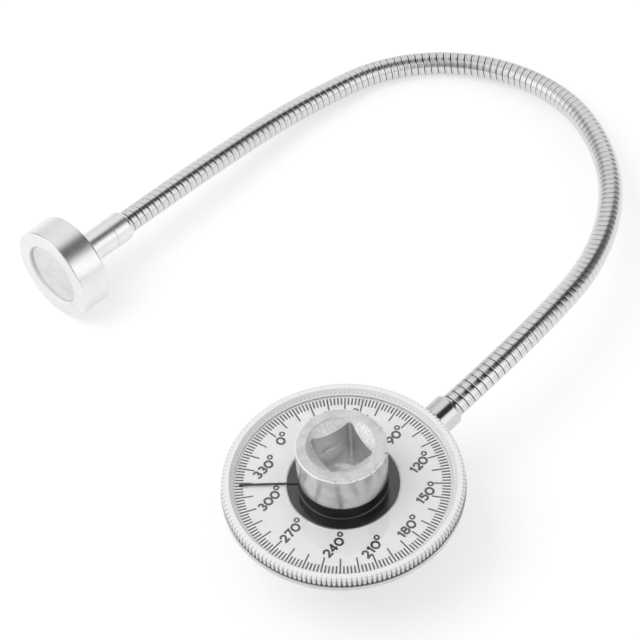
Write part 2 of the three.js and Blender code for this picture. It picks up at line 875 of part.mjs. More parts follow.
// The base and what is fixed in it.
function base() {
  const bush = washer(bushInner, bushOuter, baseBottom, journalBottom - runningGap, mediumSides);
  const washerRadius = pocketRadius - fitGap;
  const friction = washer(
    washerRadius - frictionWasherWidth,
    washerRadius,
    washerBottom,
    washerBottom + frictionWasherThickness,
    largeSides,
  );
  return groupOf(
    piece("base_housing", baseHousing(), finishes.satinAlloy),
    piece("spindle_bush", bush, finishes.bronze),
    piece("wave_washer", waveWasher(), finishes.springSteel),
    piece("friction_washer", friction, finishes.blackRubber),
  );
}

// What stands on the arm's mount.
function armMount() {
  const stud = pin(studRadius, studEnd + fitGap, studGrip - ferruleLength, studEdge, smallSides);
  const grub = piece("stud_grub_screw", grubScrew(), finishes.springSteel);
  grub.position.z = grubPlace;
  const group = groupOf(
    piece("dial_ferrule", ferrule(), finishes.brightNickel),
    piece("arm_stud", stud, finishes.springSteel),
    grub,
  );
  group.applyMatrix4(armMountFrame());
  return group;
}

// The hose and the magnet end that it carries.
function arm() {
  const stretches = hoseStretches();
  const hose = stretches.map((stretch, i) => {
    return piece("gooseneck_" + (i + 1), hosePiece(stretch, i), finishes.chrome);
  });
  const endFrame = hoseFrame(stretches.at(-1), hoseStretch + hoseStraight);
  return groupOf(...hose, magnetEnd(endFrame));
}

function magnetEnd(frame) {
  const sleeve = piece("magnet_ferrule", ferrule(), finishes.brightNickel);
  sleeve.rotation.x = Math.PI;
  const disc = pin(magnetRadius, magnetFace - magnetThickness, magnetFace, magnetEdge, mediumSides);
  const spacer = washer(screwHeadRadius + fitGap, magnetRadius, spacerBack, spacerFace, mediumSides);
  const group = groupOf(
    sleeve,
    piece("magnet_stem", magnetStem(), finishes.satinNickel),
    piece("magnet_cup", magnetCup(), finishes.satinNickel),
    piece("magnet_disc", disc, finishes.brightNickel),
    piece("magnet_spacer", spacer, finishes.springSteel),
    piece("cup_screw", cupScrew(), finishes.springSteel),
  );
  group.applyMatrix4(frame);
  return group;
}

export default groupOf(drive(), dial(), base(), armMount(), arm());
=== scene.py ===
"""Dress of a torque angle gauge for a half inch square drive.

A steel drive with a needle turns inside a dial under a clear knurled cover, and a chromed
gooseneck with a magnet at its end holds the base still. Sizes are in millimetres in the model's
own frame, with +Z up and the middle of the male square's end face at the origin. Meshes are
written in metres, and colours are sRGB hex codes that one function turns linear.
"""

import logging
import math
from dataclasses import dataclass
from enum import Enum, IntEnum
from functools import partial

import bmesh
import bpy
import numpy as np
from bpy.types import ID, Material, Mesh, Node, NodeSocket, NodeTree, Object, World
from mathutils import Matrix, Vector


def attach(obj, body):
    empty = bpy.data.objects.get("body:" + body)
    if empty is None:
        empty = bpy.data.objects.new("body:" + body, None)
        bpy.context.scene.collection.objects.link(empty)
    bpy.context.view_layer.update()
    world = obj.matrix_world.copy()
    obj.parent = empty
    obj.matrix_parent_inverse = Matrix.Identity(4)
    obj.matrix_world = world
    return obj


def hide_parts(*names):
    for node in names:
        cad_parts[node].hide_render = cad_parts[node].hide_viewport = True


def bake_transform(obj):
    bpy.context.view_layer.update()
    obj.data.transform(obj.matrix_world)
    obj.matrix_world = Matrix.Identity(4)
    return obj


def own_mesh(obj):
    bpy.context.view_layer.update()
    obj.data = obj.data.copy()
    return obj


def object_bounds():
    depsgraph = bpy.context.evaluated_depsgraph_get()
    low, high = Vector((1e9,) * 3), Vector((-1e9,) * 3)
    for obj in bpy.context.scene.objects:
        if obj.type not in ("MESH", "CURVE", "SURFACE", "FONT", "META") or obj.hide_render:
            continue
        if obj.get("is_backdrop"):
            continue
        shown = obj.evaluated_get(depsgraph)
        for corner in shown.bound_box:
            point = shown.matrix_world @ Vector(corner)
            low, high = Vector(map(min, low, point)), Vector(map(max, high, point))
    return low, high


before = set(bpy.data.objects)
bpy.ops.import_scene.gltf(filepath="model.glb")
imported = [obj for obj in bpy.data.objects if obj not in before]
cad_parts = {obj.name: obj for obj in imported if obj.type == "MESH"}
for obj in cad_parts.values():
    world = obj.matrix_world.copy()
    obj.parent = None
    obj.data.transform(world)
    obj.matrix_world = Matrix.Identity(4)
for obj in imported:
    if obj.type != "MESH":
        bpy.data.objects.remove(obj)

log = logging.getLogger("torque_angle_gauge")

MM = 0.001
SUPPORT = 0.04  # how far outside a rounded corner its support row lies
WELD = 0.000001  # metres within which points are one point
CREASE = 30.0  # degrees past which an edge stays sharp
PAST = 1.0  # how far a cutting tool reaches past the face where it comes out
MITRE = 0.55  # the least of 1 + cos that a mitred corner is divided by
SMOOTHEST = 0.03  # the least roughness of a metal


class Join(Enum):
    """How a tool's mesh changes the piece that it meets."""

    ADD = "UNION"
    CUT = "DIFFERENCE"


class Steel(IntEnum):
    """The finishes of the steel drive, in the order of its materials."""

    TURNED = 0
    BLASTED = 1
    BROACHED = 2
    DRILLED = 3
    BURNISHED = 4
    GROUND = 5


class Acrylic(IntEnum):
    """The finishes of the clear cover, in the order of its materials."""

    WINDOW = 0
    RIM = 1
    WALL = 2


# Surfaces and pieces.


@dataclass
class Surface:
    """A surface of four-cornered faces, each with the number of its finish."""

    points: np.ndarray
    faces: np.ndarray
    finish: np.ndarray

    def placed(self, seat: Matrix) -> "Surface":
        """Give the surface moved by a matrix in millimetres, without scale or mirror."""
        table = np.array(seat)
        return Surface(self.points @ table[:3, :3].T + table[:3, 3], self.faces, self.finish)


def lattice(
    points: np.ndarray,
    loop_rows: bool = False,
    loop_columns: bool = True,
    finish: np.ndarray | int = 0,
) -> Surface:
    """Span faces over a grid of points, between neighbouring rows and columns.

    A face takes the corners (i, j), (i, j+1), (i+1, j+1) and (i+1, j), so it faces outwards where
    the rows climb and the columns go anticlockwise.

    Args:
        points: rows by columns by three.
        loop_rows: whether the last row joins the first.
        loop_columns: whether the last column joins the first.
        finish: one finish number, or one for each band between two rows.

    Returns:
        The surface.
    """
    rows, columns = points.shape[:2]
    band = np.arange(rows if loop_rows else rows - 1)
    lane = np.arange(columns if loop_columns else columns - 1)
    i, j = np.meshgrid(band, lane, indexing="ij")
    low, high = i * columns, (i + 1) % rows * columns
    left, right = j, (j + 1) % columns
    faces = np.stack([low + left, low + right, high + right, high + left], axis=-1)
    numbers = np.broadcast_to(np.reshape(finish, (-1, 1)), i.shape)
    return Surface(points.reshape(-1, 3), faces.reshape(-1, 4), numbers.reshape(-1))


def direction(heading: np.ndarray | float, climb: np.ndarray | float) -> np.ndarray:
    """Give the unit vector (cos c cos h, cos c sin h, sin c) of a heading and a climb."""
    level = np.cos(climb)
    return np.stack([level * np.cos(heading), level * np.sin(heading), np.sin(climb)], axis=-1)


def circle(count: int) -> np.ndarray:
    """Give even angles round a full turn, in radians."""
    return np.arange(count) * 2 * np.pi / count


def polar(radius: np.ndarray, turn: np.ndarray, height: np.ndarray) -> np.ndarray:
    """Give the points (r cos t, r sin t, h), with x, y and z in the last axis."""
    table = np.broadcast_arrays(radius * np.cos(turn), radius * np.sin(turn), height)
    return np.stack(table, axis=-1)


def unit(rows: np.ndarray) -> np.ndarray:
    """Make every row one long, or shorter where it is next to nothing."""
    return rows / np.maximum(np.linalg.norm(rows, axis=1, keepdims=True), SUPPORT)


def between(rows: np.ndarray) -> np.ndarray:
    """Give the middle between each row and the next, where the last is followed by the first."""
    return (rows + np.roll(rows, -1, axis=0)) / 2


def rounded(
    corners: list[tuple[float, float]],
    edges: tuple[float, ...] | float = 0.0,
    closed: bool = False,
    steps: int = 4,
) -> np.ndarray:
    """Round the corners of a profile.

    At a corner P with setback s, A and B lie s before and after it, and the arc is
    (1-t)^2 A + 2t(1-t) P + t^2 B. A support point lies just outside each end of an arc, which keeps
    the shading of the flats beside it flat.

    Args:
        corners: radius and height of each corner, in order up the outside.
        edges: the setback of each corner, or one for all.
        closed: whether the last corner is followed by the first.
        steps: how many parts an arc has.

    Returns:
        Rows of radius and height.
    """
    place = np.array(corners, dtype=float)
    setback = np.broadcast_to(edges, len(place))[:, None]
    before = np.roll(place, 1, axis=0) - place
    after = np.roll(place, -1, axis=0) - place
    if not closed:
        before[0] = after[-1] = 0
    before, after = unit(before), unit(after)
    share = np.linspace(0, 1, steps + 1)[None, :, None]
    start, end = place + before * setback, place + after * setback
    arcs = (
        (1 - share) ** 2 * start[:, None]
        + 2 * share * (1 - share) * place[:, None]
        + share**2 * end[:, None]
    )
    outside = setback + SUPPORT * (setback > 0)
    supports = place + before * outside, place + after * outside
    rows = np.concatenate([supports[0][:, None], arcs, supports[1][:, None]], axis=1).reshape(-1, 2)
    return rows[np.r_[True, np.linalg.norm(np.diff(rows, axis=0), axis=1) > WELD / MM]]


def stairs(steps: list[tuple[float, float]], last: float) -> list[tuple[float, float]]:
    """Give the corners of a profile that goes level and upright by turns.

    From each step's radius and height it goes level to the next step's radius and then upright to
    its height, so that the corners are (r0, h0), (r1, h0), (r1, h1), (r2, h1) and so on.

    Args:
        steps: radius and height of every second corner.
        last: the radius where the profile ends.

    Returns:
        Radius and height of each corner.
    """
    radii, heights = zip(*steps)
    treads = zip((*radii[1:], last), heights)
    return [corner for pair in zip(steps, treads) for corner in pair]


def plain_ring(
    inner: float,
    outer: float,
    low: float,
    high: float,
    edges: tuple[float, ...] | float,
) -> np.ndarray:
    """Give a plain ring's closed section, with its edges from the inner lower one outwards."""
    return rounded(stairs([(inner, low), (outer, high)], inner), edges, closed=True)


def turned(
    profile: np.ndarray,
    sides: int,
    closed: bool = False,
    finish: np.ndarray | int = 0,
) -> Surface:
    """Turn rows of radius and height, or a ring's closed section, about Z."""
    points = polar(profile[:, :1], circle(sides), profile[:, 1:])
    return lattice(points, loop_rows=closed, finish=finish)


def seat_at(place: Vector, heading: float, climb: float) -> Matrix:
    """Make a frame whose Z runs along a heading and a climb, with X level and to the left.

    Args:
        place: the frame's origin.
        heading: radians from +X.
        climb: radians above level.

    Returns:
        The frame's matrix.
    """
    along = Vector(direction(heading, climb))
    left = Vector((-math.sin(heading), math.cos(heading), 0))
    turn = Matrix((left, along.cross(left), along)).transposed()
    return Matrix.Translation(place) @ turn.to_4x4()


def put(name: str, data: ID) -> Object:
    """Make an object of some data and link it to the scene."""
    thing = bpy.data.objects.new(name, data)
    bpy.context.scene.collection.objects.link(thing)
    return thing


def make_piece(
    name: str,
    surfaces: list[Surface],
    finishes: list[Material],
    groove: np.ndarray | None = None,
) -> Object:
    """Put surfaces into one mesh with welded seams and poles, at the origin.

    Args:
        name: the piece's name.
        surfaces: its surfaces, in millimetres.
        finishes: its materials, in the order of the finish numbers.
        groove: the share of painted shade at each point, from 0 to 1.

    Returns:
        The object.
    """
    first = np.cumsum([0] + [len(surface.points) for surface in surfaces])
    points = np.concatenate([surface.points for surface in surfaces]) * MM
    faces = np.concatenate([surface.faces + start for surface, start in zip(surfaces, first)])
    mesh = bpy.data.meshes.new(name)
    mesh.from_pydata(points.tolist(), [], faces.tolist())
    for material in finishes:
        mesh.materials.append(material)
    numbers = np.concatenate([surface.finish for surface in surfaces])
    mesh.polygons.foreach_set("material_index", numbers.astype(np.int32))
    # The painted shade goes into a point attribute that the materials darken by.
    if groove is not None:
        layer = mesh.attributes.new("groove", "FLOAT", "POINT")
        layer.data.foreach_set("value", groove.astype(np.float32))
    welded = bmesh.new()
    welded.from_mesh(mesh)
    bmesh.ops.remove_doubles(welded, verts=welded.verts, dist=WELD)
    welded.to_mesh(mesh)
    welded.free()
    shade(mesh)
    return put(name, mesh)


def shade(mesh: Mesh) -> None:
    """Shade a mesh smooth, except over edges past the crease angle."""
    mesh.shade_smooth()
    mesh.set_sharp_from_angle(angle=math.radians(CREASE))


def combine(piece: Object, surface: Surface, join: Join) -> None:
    """Join a closed surface to a piece, or cut it out of the piece.

    Args:
        piece: the piece whose mesh changes.
        surface: the closed surface, in millimetres.
        join: whether the surface adds or cuts.
    """
    tool = make_piece("tool", [surface], [])
    step = piece.modifiers.new("join", "BOOLEAN")
    step.operation = join.value
    step.solver = "EXACT"
    step.object = tool
    graph = bpy.context.evaluated_depsgraph_get()
    mesh = bpy.data.meshes.new_from_object(piece.evaluated_get(graph))
    piece.modifiers.clear()
    old, piece.data = piece.data, mesh
    mesh.name = piece.name
    shade(mesh)
    bpy.data.meshes.remove(old)
    bpy.data.meshes.remove(tool.data)


def settle(piece: Object, body: str, slot: str, *nodes: str) -> Object:
    """Let a piece ride on a body and stand for nodes of the model.

    Args:
        piece: the finished piece.
        body: the body that carries it.
        slot: the name of a material slot, which is not used.
        nodes: the nodes that it replaces.

    Returns:
        The same piece.
    """
    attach(piece, body)
    if nodes:
        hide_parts(*nodes)
    log.info("%s: %d faces on %s", piece.name, len(piece.data.polygons), body)
    return piece


# Finishes.


def linear(code: str) -> tuple[float, float, float, float]:
    """Turn an sRGB hex colour into the linear values that a socket takes.

    Args:
        code: the colour, as in #rrggbb.

    Returns:
        Red, green, blue and one.
    """
    part = np.array([int(code[i : i + 2], 16) for i in (1, 3, 5)]) / 255
    value = np.where(part <= 0.04045, part / 12.92, ((part + 0.055) / 1.055) ** 2.4)
    return (*map(float, value), 1.0)


def fill(tree: NodeTree, node: Node, inputs: dict) -> None:
    """Link or set a node's inputs.

    Args:
        tree: the node tree.
        node: the node.
        inputs: a value, or an output to link, for each input's name or number.
    """
    for key, value in inputs.items():
        if isinstance(value, NodeSocket):
            tree.links.new(value, node.inputs[key])
        else:
            node.inputs[key].default_value = value


def add_node(tree: NodeTree, kind: str, inputs: dict | None = None, **settings) -> Node:
    """Add a node with its settings and inputs.

    Args:
        tree: the node tree.
        kind: the node's type, without ShaderNode in front.
        inputs: a value, or an output to link, for each input's name or number.
        settings: the node's own settings.

    Returns:
        The node.
    """
    node = tree.nodes.new("ShaderNode" + kind)
    for name, value in settings.items():
        setattr(node, name, value)
    fill(tree, node, inputs or {})
    return node


def empty_tree(owner: Material | World) -> NodeTree:
    """Turn on the nodes of a material or a world, without the ones that Blender puts there."""
    owner.use_nodes = True
    owner.node_tree.nodes.clear()
    return owner.node_tree


class Recipe:
    """A material while it is put together: its nodes, its shader and the place on the piece."""

    def __init__(self, title: str, colour: str, roughness: float, axis: Matrix | None) -> None:
        """Start the material.

        Args:
            title: its name.
            colour: its colour, as in #rrggbb.
            roughness: its roughness.
            axis: the frame whose Z its marks go round, where that isn't the piece's own.
        """
        self.material = bpy.data.materials.new(title)
        self.tree = empty_tree(self.material)
        plain = {"Base Color": linear(colour), "Roughness": roughness}
        self.shader = self.add("BsdfPrincipled", plain)
        self.add("OutputMaterial", {"Surface": self.shader.outputs[0]})
        self.place = self.add("TexCoord").outputs["Object"]
        if axis is not None:
            seat = {"Location": axis.translation * MM, "Rotation": axis.to_euler()}
            mapping = self.add("Mapping", {"Vector": self.place, **seat}, vector_type="TEXTURE")
            self.place = mapping.outputs[0]

    def add(self, kind: str, inputs: dict | None = None, **settings) -> Node:
        """Add a node, as add_node does."""
        return add_node(self.tree, kind, inputs, **settings)

    def scaled(self, scale: tuple[float, float, float]) -> NodeSocket:
        """Give the place with each axis scaled."""
        return self.add("VectorMath", {0: self.place, 1: scale}, operation="MULTIPLY").outputs[0]

    def groove(self) -> NodeSocket:
        """Give the share of painted shade at the place, from the piece's attribute."""
        return self.add("Attribute", attribute_name="groove").outputs["Fac"]

    def noise(self, size: float, **inputs) -> NodeSocket:
        """Give a soft noise about 0.5, whose lumps have a size in millimetres."""
        table = {"Vector": self.place, "Scale": 1 / (size * MM), **inputs}
        return self.add("TexNoise", table).outputs[0]

    def spread(
        self,
        value: NodeSocket,
        start: float = 0.0,
        end: float = 1.0,
        low: float = 0.0,
        high: float = 1.0,
    ) -> NodeSocket:
        """Map start to low and end to high, evenly between them and held beyond them."""
        table = {"Value": value, "From Min": start, "From Max": end, "To Min": low, "To Max": high}
        return self.add("MapRange", table).outputs[0]

    def mix(
        self,
        share: NodeSocket,
        first: NodeSocket | str,
        second: NodeSocket | str,
    ) -> NodeSocket:
        """Mix two colours, each an output or a hex code, by the share of the second."""
        pair = [linear(colour) if isinstance(colour, str) else colour for colour in (first, second)]
        return self.add("Mix", {0: share, 6: pair[0], 7: pair[1]}, data_type="RGBA").outputs[2]

    def relief(self, height: NodeSocket, depth: float) -> NodeSocket:
        """Give the normal of a bump whose height from 0 to 1 is a depth in millimetres."""
        return self.add("Bump", {"Height": height, "Distance": depth * MM}).outputs[0]

    def done(self, inputs: dict) -> Material:
        """Fill the shader's inputs and give the material."""
        fill(self.tree, self.shader, inputs)
        return self.material


@dataclass(frozen=True)
class Finish:
    """What every finish has: a name, a colour, a roughness and the axis that its marks go round."""

    title: str = "finish"
    colour: str = "#808080"
    roughness: float = 0.4
    axis: Matrix | None = None

    def start(self) -> Recipe:
        """Start the material."""
        return Recipe(self.title, self.colour, self.roughness, self.axis)


@dataclass(frozen=True)
class TurnedMetal(Finish):
    """A metal turned on a lathe: fine rings round its axis and a soft cloudiness from handling."""

    ring_pitch: float = 0.3
    ring_depth: float = 0.004
    cloud_size: float = 5.0
    cloud_colour: str = "#707070"
    cloud_share: float = 0.25
    cloud_span: tuple[float, float] = (0.45, 0.75)
    ring_span: tuple[float, float] = (0.3, 0.7)
    rough_swing: float = 0.1

    def material(self) -> Material:
        """Build the material: the rings are a noise of radius plus height.

        Returns:
            The material.
        """
        recipe = self.start()
        across = recipe.scaled((1, 1, 0))
        radius = recipe.add("VectorMath", {0: across}, operation="LENGTH").outputs["Value"]
        height = recipe.add("SeparateXYZ", {0: recipe.place}).outputs["Z"]
        travel = recipe.add("Math", {0: radius, 1: height}, operation="ADD").outputs[0]
        wave = {"W": travel, "Scale": 1 / (self.ring_pitch * MM), "Detail": 2.0}
        rings = recipe.add("TexNoise", wave, noise_dimensions="1D").outputs[0]
        cloud = recipe.noise(self.cloud_size, Detail=3.0)
        tint = recipe.spread(cloud, *self.cloud_span, high=self.cloud_share)
        least = max(self.roughness - self.rough_swing, SMOOTHEST)
        most = self.roughness + self.rough_swing
        return recipe.done(
            {
                "Metallic": 1.0,
                "Base Color": recipe.mix(tint, self.colour, self.cloud_colour),
                "Roughness": recipe.spread(rings, *self.ring_span, least, most),
                "Normal": recipe.relief(rings, self.ring_depth),
            }
        )


@dataclass(frozen=True)
class StreakedSteel(Finish):
    """Broached or ground steel: streaks along Z, and painted shade in the socket's corners and
    mouth.
    """

    streak_width: float = 0.35
    streak_length: float = 12.0
    streak_depth: float = 0.006
    dark: str = "#c0c0c0"
    # painted shade: the colour that the walls darken to, by the piece's attribute
    grease: str = "#b4b4b4"

    def material(self) -> Material:
        """Build the material.

        Returns:
            The material.
        """
        recipe = self.start()
        drawn = recipe.scaled((1, 1, self.streak_width / self.streak_length))
        streaks = recipe.noise(self.streak_width, Vector=drawn, Detail=3.0)
        steel = recipe.mix(streaks, self.colour, self.dark)
        # The walls mix towards the painted shade colour by the piece's attribute.
        return recipe.done(
            {
                "Metallic": 1.0,
                "Base Color": recipe.mix(recipe.groove(), steel, self.grease),
                "Normal": recipe.relief(streaks, self.streak_depth),
            }
        )


@dataclass(frozen=True)
class BlastedSteel(Finish):
    """Steel with the mottle that heat treatment and blasting leave: soft light and dull spots."""

    spot_size: float = 0.8
    spot_depth: float = 0.012
    spot_blur: float = 0.6
    dull: str = "#bcbcbc"
    low: float = 0.4
    high: float = 0.65

    def material(self) -> Material:
        """Build the material.

        Returns:
            The material.
        """
        recipe = self.start()
        spots = recipe.noise(self.spot_size, Detail=3.0, Roughness=self.spot_blur)
        share = recipe.spread(spots, self.low, self.high)
        return recipe.done(
            {
                "Metallic": 1.0,
                "Base Color": recipe.mix(share, self.dull, self.colour),
                "Normal": recipe.relief(spots, self.spot_depth),
            }
        )


@dataclass(frozen=True)
class ChromedWire(Finish):
    """Chromium plate on wound wire: a clear mirror on the crests, and painted shade in the grooves.
    """

    # painted shade: the colour deep in the grooves
    groove_colour: str = "#3c3c3c"
    groove_roughness: float = 0.5
    groove_span: tuple[float, float] = (0.15, 0.8)
    ripple_size: float = 1.6
    ripple_depth: float = 0.004

    def material(self) -> Material:
        """Build the material.

        Returns:
            The material.
        """
        recipe = self.start()
        share = recipe.spread(recipe.groove(), *self.groove_span)
        ripple = recipe.noise(self.ripple_size)
        return recipe.done(
            {
                "Metallic": 1.0,
                "Base Color": recipe.mix(share, self.colour, self.groove_colour),
                "Roughness": recipe.spread(share, low=self.roughness, high=self.groove_roughness),
                "Normal": recipe.relief(ripple, self.ripple_depth),
            }
        )


@dataclass(frozen=True)
class GrainedSurface(Finish):
    """A moulded, baked or pressed surface that isn't polished metal: fine grain, faint blotches."""

    grain_size: float = 0.3
    grain_depth: float = 0.004
    blotch_size: float = 4.0
    blotch_colour: str = "#808080"
    blotch_share: float = 0.3
    blotch_span: tuple[float, float] = (0.4, 0.7)
    rough_share: float = 0.2
    metallic: float = 0.0
    index: float = 1.5

    def material(self) -> Material:
        """Build the material.

        Returns:
            The material.
        """
        recipe = self.start()
        grain = recipe.noise(self.grain_size, Detail=2.0)
        blotch = recipe.noise(self.blotch_size, Detail=4.0)
        share = recipe.spread(blotch, *self.blotch_span, high=self.blotch_share)
        least, most = (self.roughness * (1 + side * self.rough_share) for side in (-1, 1))
        return recipe.done(
            {
                "Metallic": self.metallic,
                "IOR": self.index,
                "Base Color": recipe.mix(share, self.colour, self.blotch_colour),
                "Roughness": recipe.spread(grain, low=least, high=most),
                "Normal": recipe.relief(grain, self.grain_depth),
            }
        )


@dataclass(frozen=True)
class ClearAcrylic(Finish):
    """Turned acrylic: clear where polished, milky where cut, with painted shade at the knurl's
    grooves.
    """

    index: float = 1.49
    haze: float = 0.0
    specular: float = 0.5
    # painted shade: the colour at the foot of the knurl's grooves and of the ticks seen through the
    # rim
    dust: str = "#b4b4b4"
    dust_span: tuple[float, float] = (0.2, 0.75)
    wave_size: float = 2.5
    wave_depth: float = 0.002

    def material(self) -> Material:
        """Build the material.

        Returns:
            The material.
        """
        recipe = self.start()
        share = recipe.spread(recipe.groove(), *self.dust_span)
        return recipe.done(
            {
                "IOR": self.index,
                "Specular IOR Level": self.specular,
                "Transmission Weight": 1.0 - self.haze,
                "Base Color": recipe.mix(share, self.colour, self.dust),
                "Normal": recipe.relief(recipe.noise(self.wave_size), self.wave_depth),
            }
        )


# Camera and studio.


@dataclass(frozen=True)
class PhotoCamera:
    """The camera at the photograph's place and angle."""

    place: tuple[float, float, float] = (-160.59, -332.21, 531.58)
    heading: float = 64.73
    dive: float = 49.66
    roll: float = -3.84
    focal_pixels: float = 2252.4
    image_pixels: float = 640.0
    sensor: float = 36.0
    clip: tuple[float, float] = (0.01, 50.0)

    def build(self) -> None:
        """Make the camera: right, up and back are the columns of its turn."""
        heading, dive, roll = map(math.radians, (self.heading, self.dive, self.roll))
        ahead = Vector(direction(heading, -dive))
        level = Vector((math.sin(heading), -math.cos(heading), 0))
        upright = level.cross(ahead)
        right = level * math.cos(roll) + upright * math.sin(roll)
        up = right.cross(ahead)
        lens = bpy.data.cameras.new("photo_camera")
        lens.sensor_width = self.sensor
        lens.lens = self.focal_pixels / self.image_pixels * self.sensor
        lens.clip_start, lens.clip_end = self.clip
        camera = put("photo_camera", lens)
        turn = Matrix((right, up, -ahead)).transposed().to_4x4()
        camera.matrix_world = Matrix.Translation(Vector(self.place) * MM) @ turn
        bpy.context.scene.camera = camera


@dataclass(frozen=True)
class Panel:
    """A soft light or dark patch of the studio that gloss shows, by heading and elevation."""

    heading: float
    elevation: float
    spread: float
    fade: float
    level: float

    def towards(self) -> tuple[float, ...]:
        """Give the direction to the panel's middle."""
        return tuple(direction(math.radians(self.heading), math.radians(self.elevation)))


@dataclass(frozen=True)
class Studio:
    """A white studio: a plain world with patches for gloss, a pale floor and one soft lamp.

    The level behind clear plastic holds the lamp's share too, because a lamp's rays end at a
    surface that bends them.
    """

    plain_level: float = 0.75
    gloss_level: float = 0.88
    camera_level: float = 1.0
    clear_level: float = 1.2
    panels: tuple[Panel, ...] = (
        Panel(-63.0, 39.0, 31.5, 10.5, 1.25),
        Panel(162.5, 23.0, 16.0, 24.0, 1.38),
        Panel(5.0, 21.5, 13.0, 22.0, 0.035),
        Panel(15.5, 69.0, 6.0, 21.5, 0.14),
        Panel(-129.0, 28.0, 9.0, 36.0, 0.28),
        Panel(109.0, 20.0, 4.5, 19.5, 0.36),
        Panel(71.0, 62.5, 10.5, 19.0, 0.96),
        Panel(-127.0, 44.5, 9.0, 3.0, 0.52),
        Panel(-57.0, 58.0, 4.0, 3.0, 0.03),
        Panel(-42.0, 65.0, 8.0, 20.0, 0.03),
        Panel(3.0, 39.5, 5.0, 11.0, 0.025),
    )
    floor_size: float = 8000.0
    floor_drop: float = 0.05
    floor_colour: str = "#c8c8c8"
    floor_glow: float = 0.5
    lamp_place: tuple[float, float, float] = (-500.0, 150.0, 900.0)
    lamp_width: float = 700.0
    lamp_watts: float = 3.0

    def build_world(self) -> None:
        """Light diffuse rays plainly, show gloss the patches, and glass and the camera white."""
        world = bpy.data.worlds.new("white_studio")
        add = partial(add_node, empty_tree(world))
        away = add("TexCoord").outputs["Generated"]
        level: NodeSocket | float = self.gloss_level
        for panel in self.panels:
            near = add("VectorMath", {0: away, 1: panel.towards()}, operation="DOT_PRODUCT")
            span = {
                "Value": near.outputs["Value"],
                "From Min": math.cos(math.radians(panel.spread + panel.fade)),
                "From Max": math.cos(math.radians(panel.spread)),
            }
            share = add("MapRange", span, interpolation_type="SMOOTHSTEP").outputs[0]
            level = add("Mix", {0: share, 2: level, 3: panel.level}).outputs[0]
        path = add("LightPath").outputs
        level = add("Mix", {0: path["Is Glossy Ray"], 2: self.plain_level, 3: level}).outputs[0]
        whites = {"Is Transmission Ray": self.clear_level, "Is Camera Ray": self.camera_level}
        for ray, white in whites.items():
            level = add("Mix", {0: path[ray], 2: level, 3: white}).outputs[0]
        glow = add("Background", {"Color": (1, 1, 1, 1), "Strength": level})
        add("OutputWorld", {"Surface": glow.outputs[0]})
        bpy.context.scene.world = world

    def build_floor(self, ground: float) -> None:
        """Make the floor, white to the eye and to gloss, which keeps the object's soft shadow.

        Args:
            ground: the height of the object's lowest point.
        """
        half = self.floor_size / 2
        side = np.array([-half, half])
        x, y = np.meshgrid(side, side)
        points = np.stack([x, y, np.full_like(x, ground - self.floor_drop)], axis=-1)
        material = bpy.data.materials.new("matt_paper")
        add = partial(add_node, empty_tree(material))
        path = add("LightPath").outputs
        seen = path["Is Camera Ray"]
        for ray in ("Is Glossy Ray", "Is Transmission Ray"):
            seen = add("Math", {0: path[ray], 1: seen}, operation="MAXIMUM").outputs[0]
        glow = add("Math", {0: seen, 1: self.floor_glow}, operation="MULTIPLY").outputs[0]
        paper = add("BsdfDiffuse", {"Color": linear(self.floor_colour)})
        light = add("Emission", {"Color": (1, 1, 1, 1), "Strength": glow})
        both = add("AddShader", {0: paper.outputs[0], 1: light.outputs[0]})
        add("OutputMaterial", {"Surface": both.outputs[0]})
        floor = make_piece("floor", [lattice(points, loop_columns=False)], [material])
        floor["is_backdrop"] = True

    def build_lamp(self) -> None:
        """Hang one large soft lamp above and to the left, which gloss doesn't show."""
        light = bpy.data.lights.new("soft_lamp", "AREA")
        light.shape = "SQUARE"
        light.size = self.lamp_width * MM
        light.energy = self.lamp_watts
        lamp = put("soft_lamp", light)
        place = Vector(self.lamp_place)
        turn = place.to_track_quat("Z", "Y").to_matrix().to_4x4()
        lamp.matrix_world = Matrix.Translation(place * MM) @ turn
        lamp.visible_glossy = False


# Drive.


def cut_square(turn: np.ndarray, half: float, inner: float) -> np.ndarray:
    """Give a square's radius with cut corners, by half its width and half a flat's length."""
    across, along = np.abs(np.cos(turn)), np.abs(np.sin(turn))
    return np.minimum(half / np.maximum(across, along), (half + inner) / (across + along))


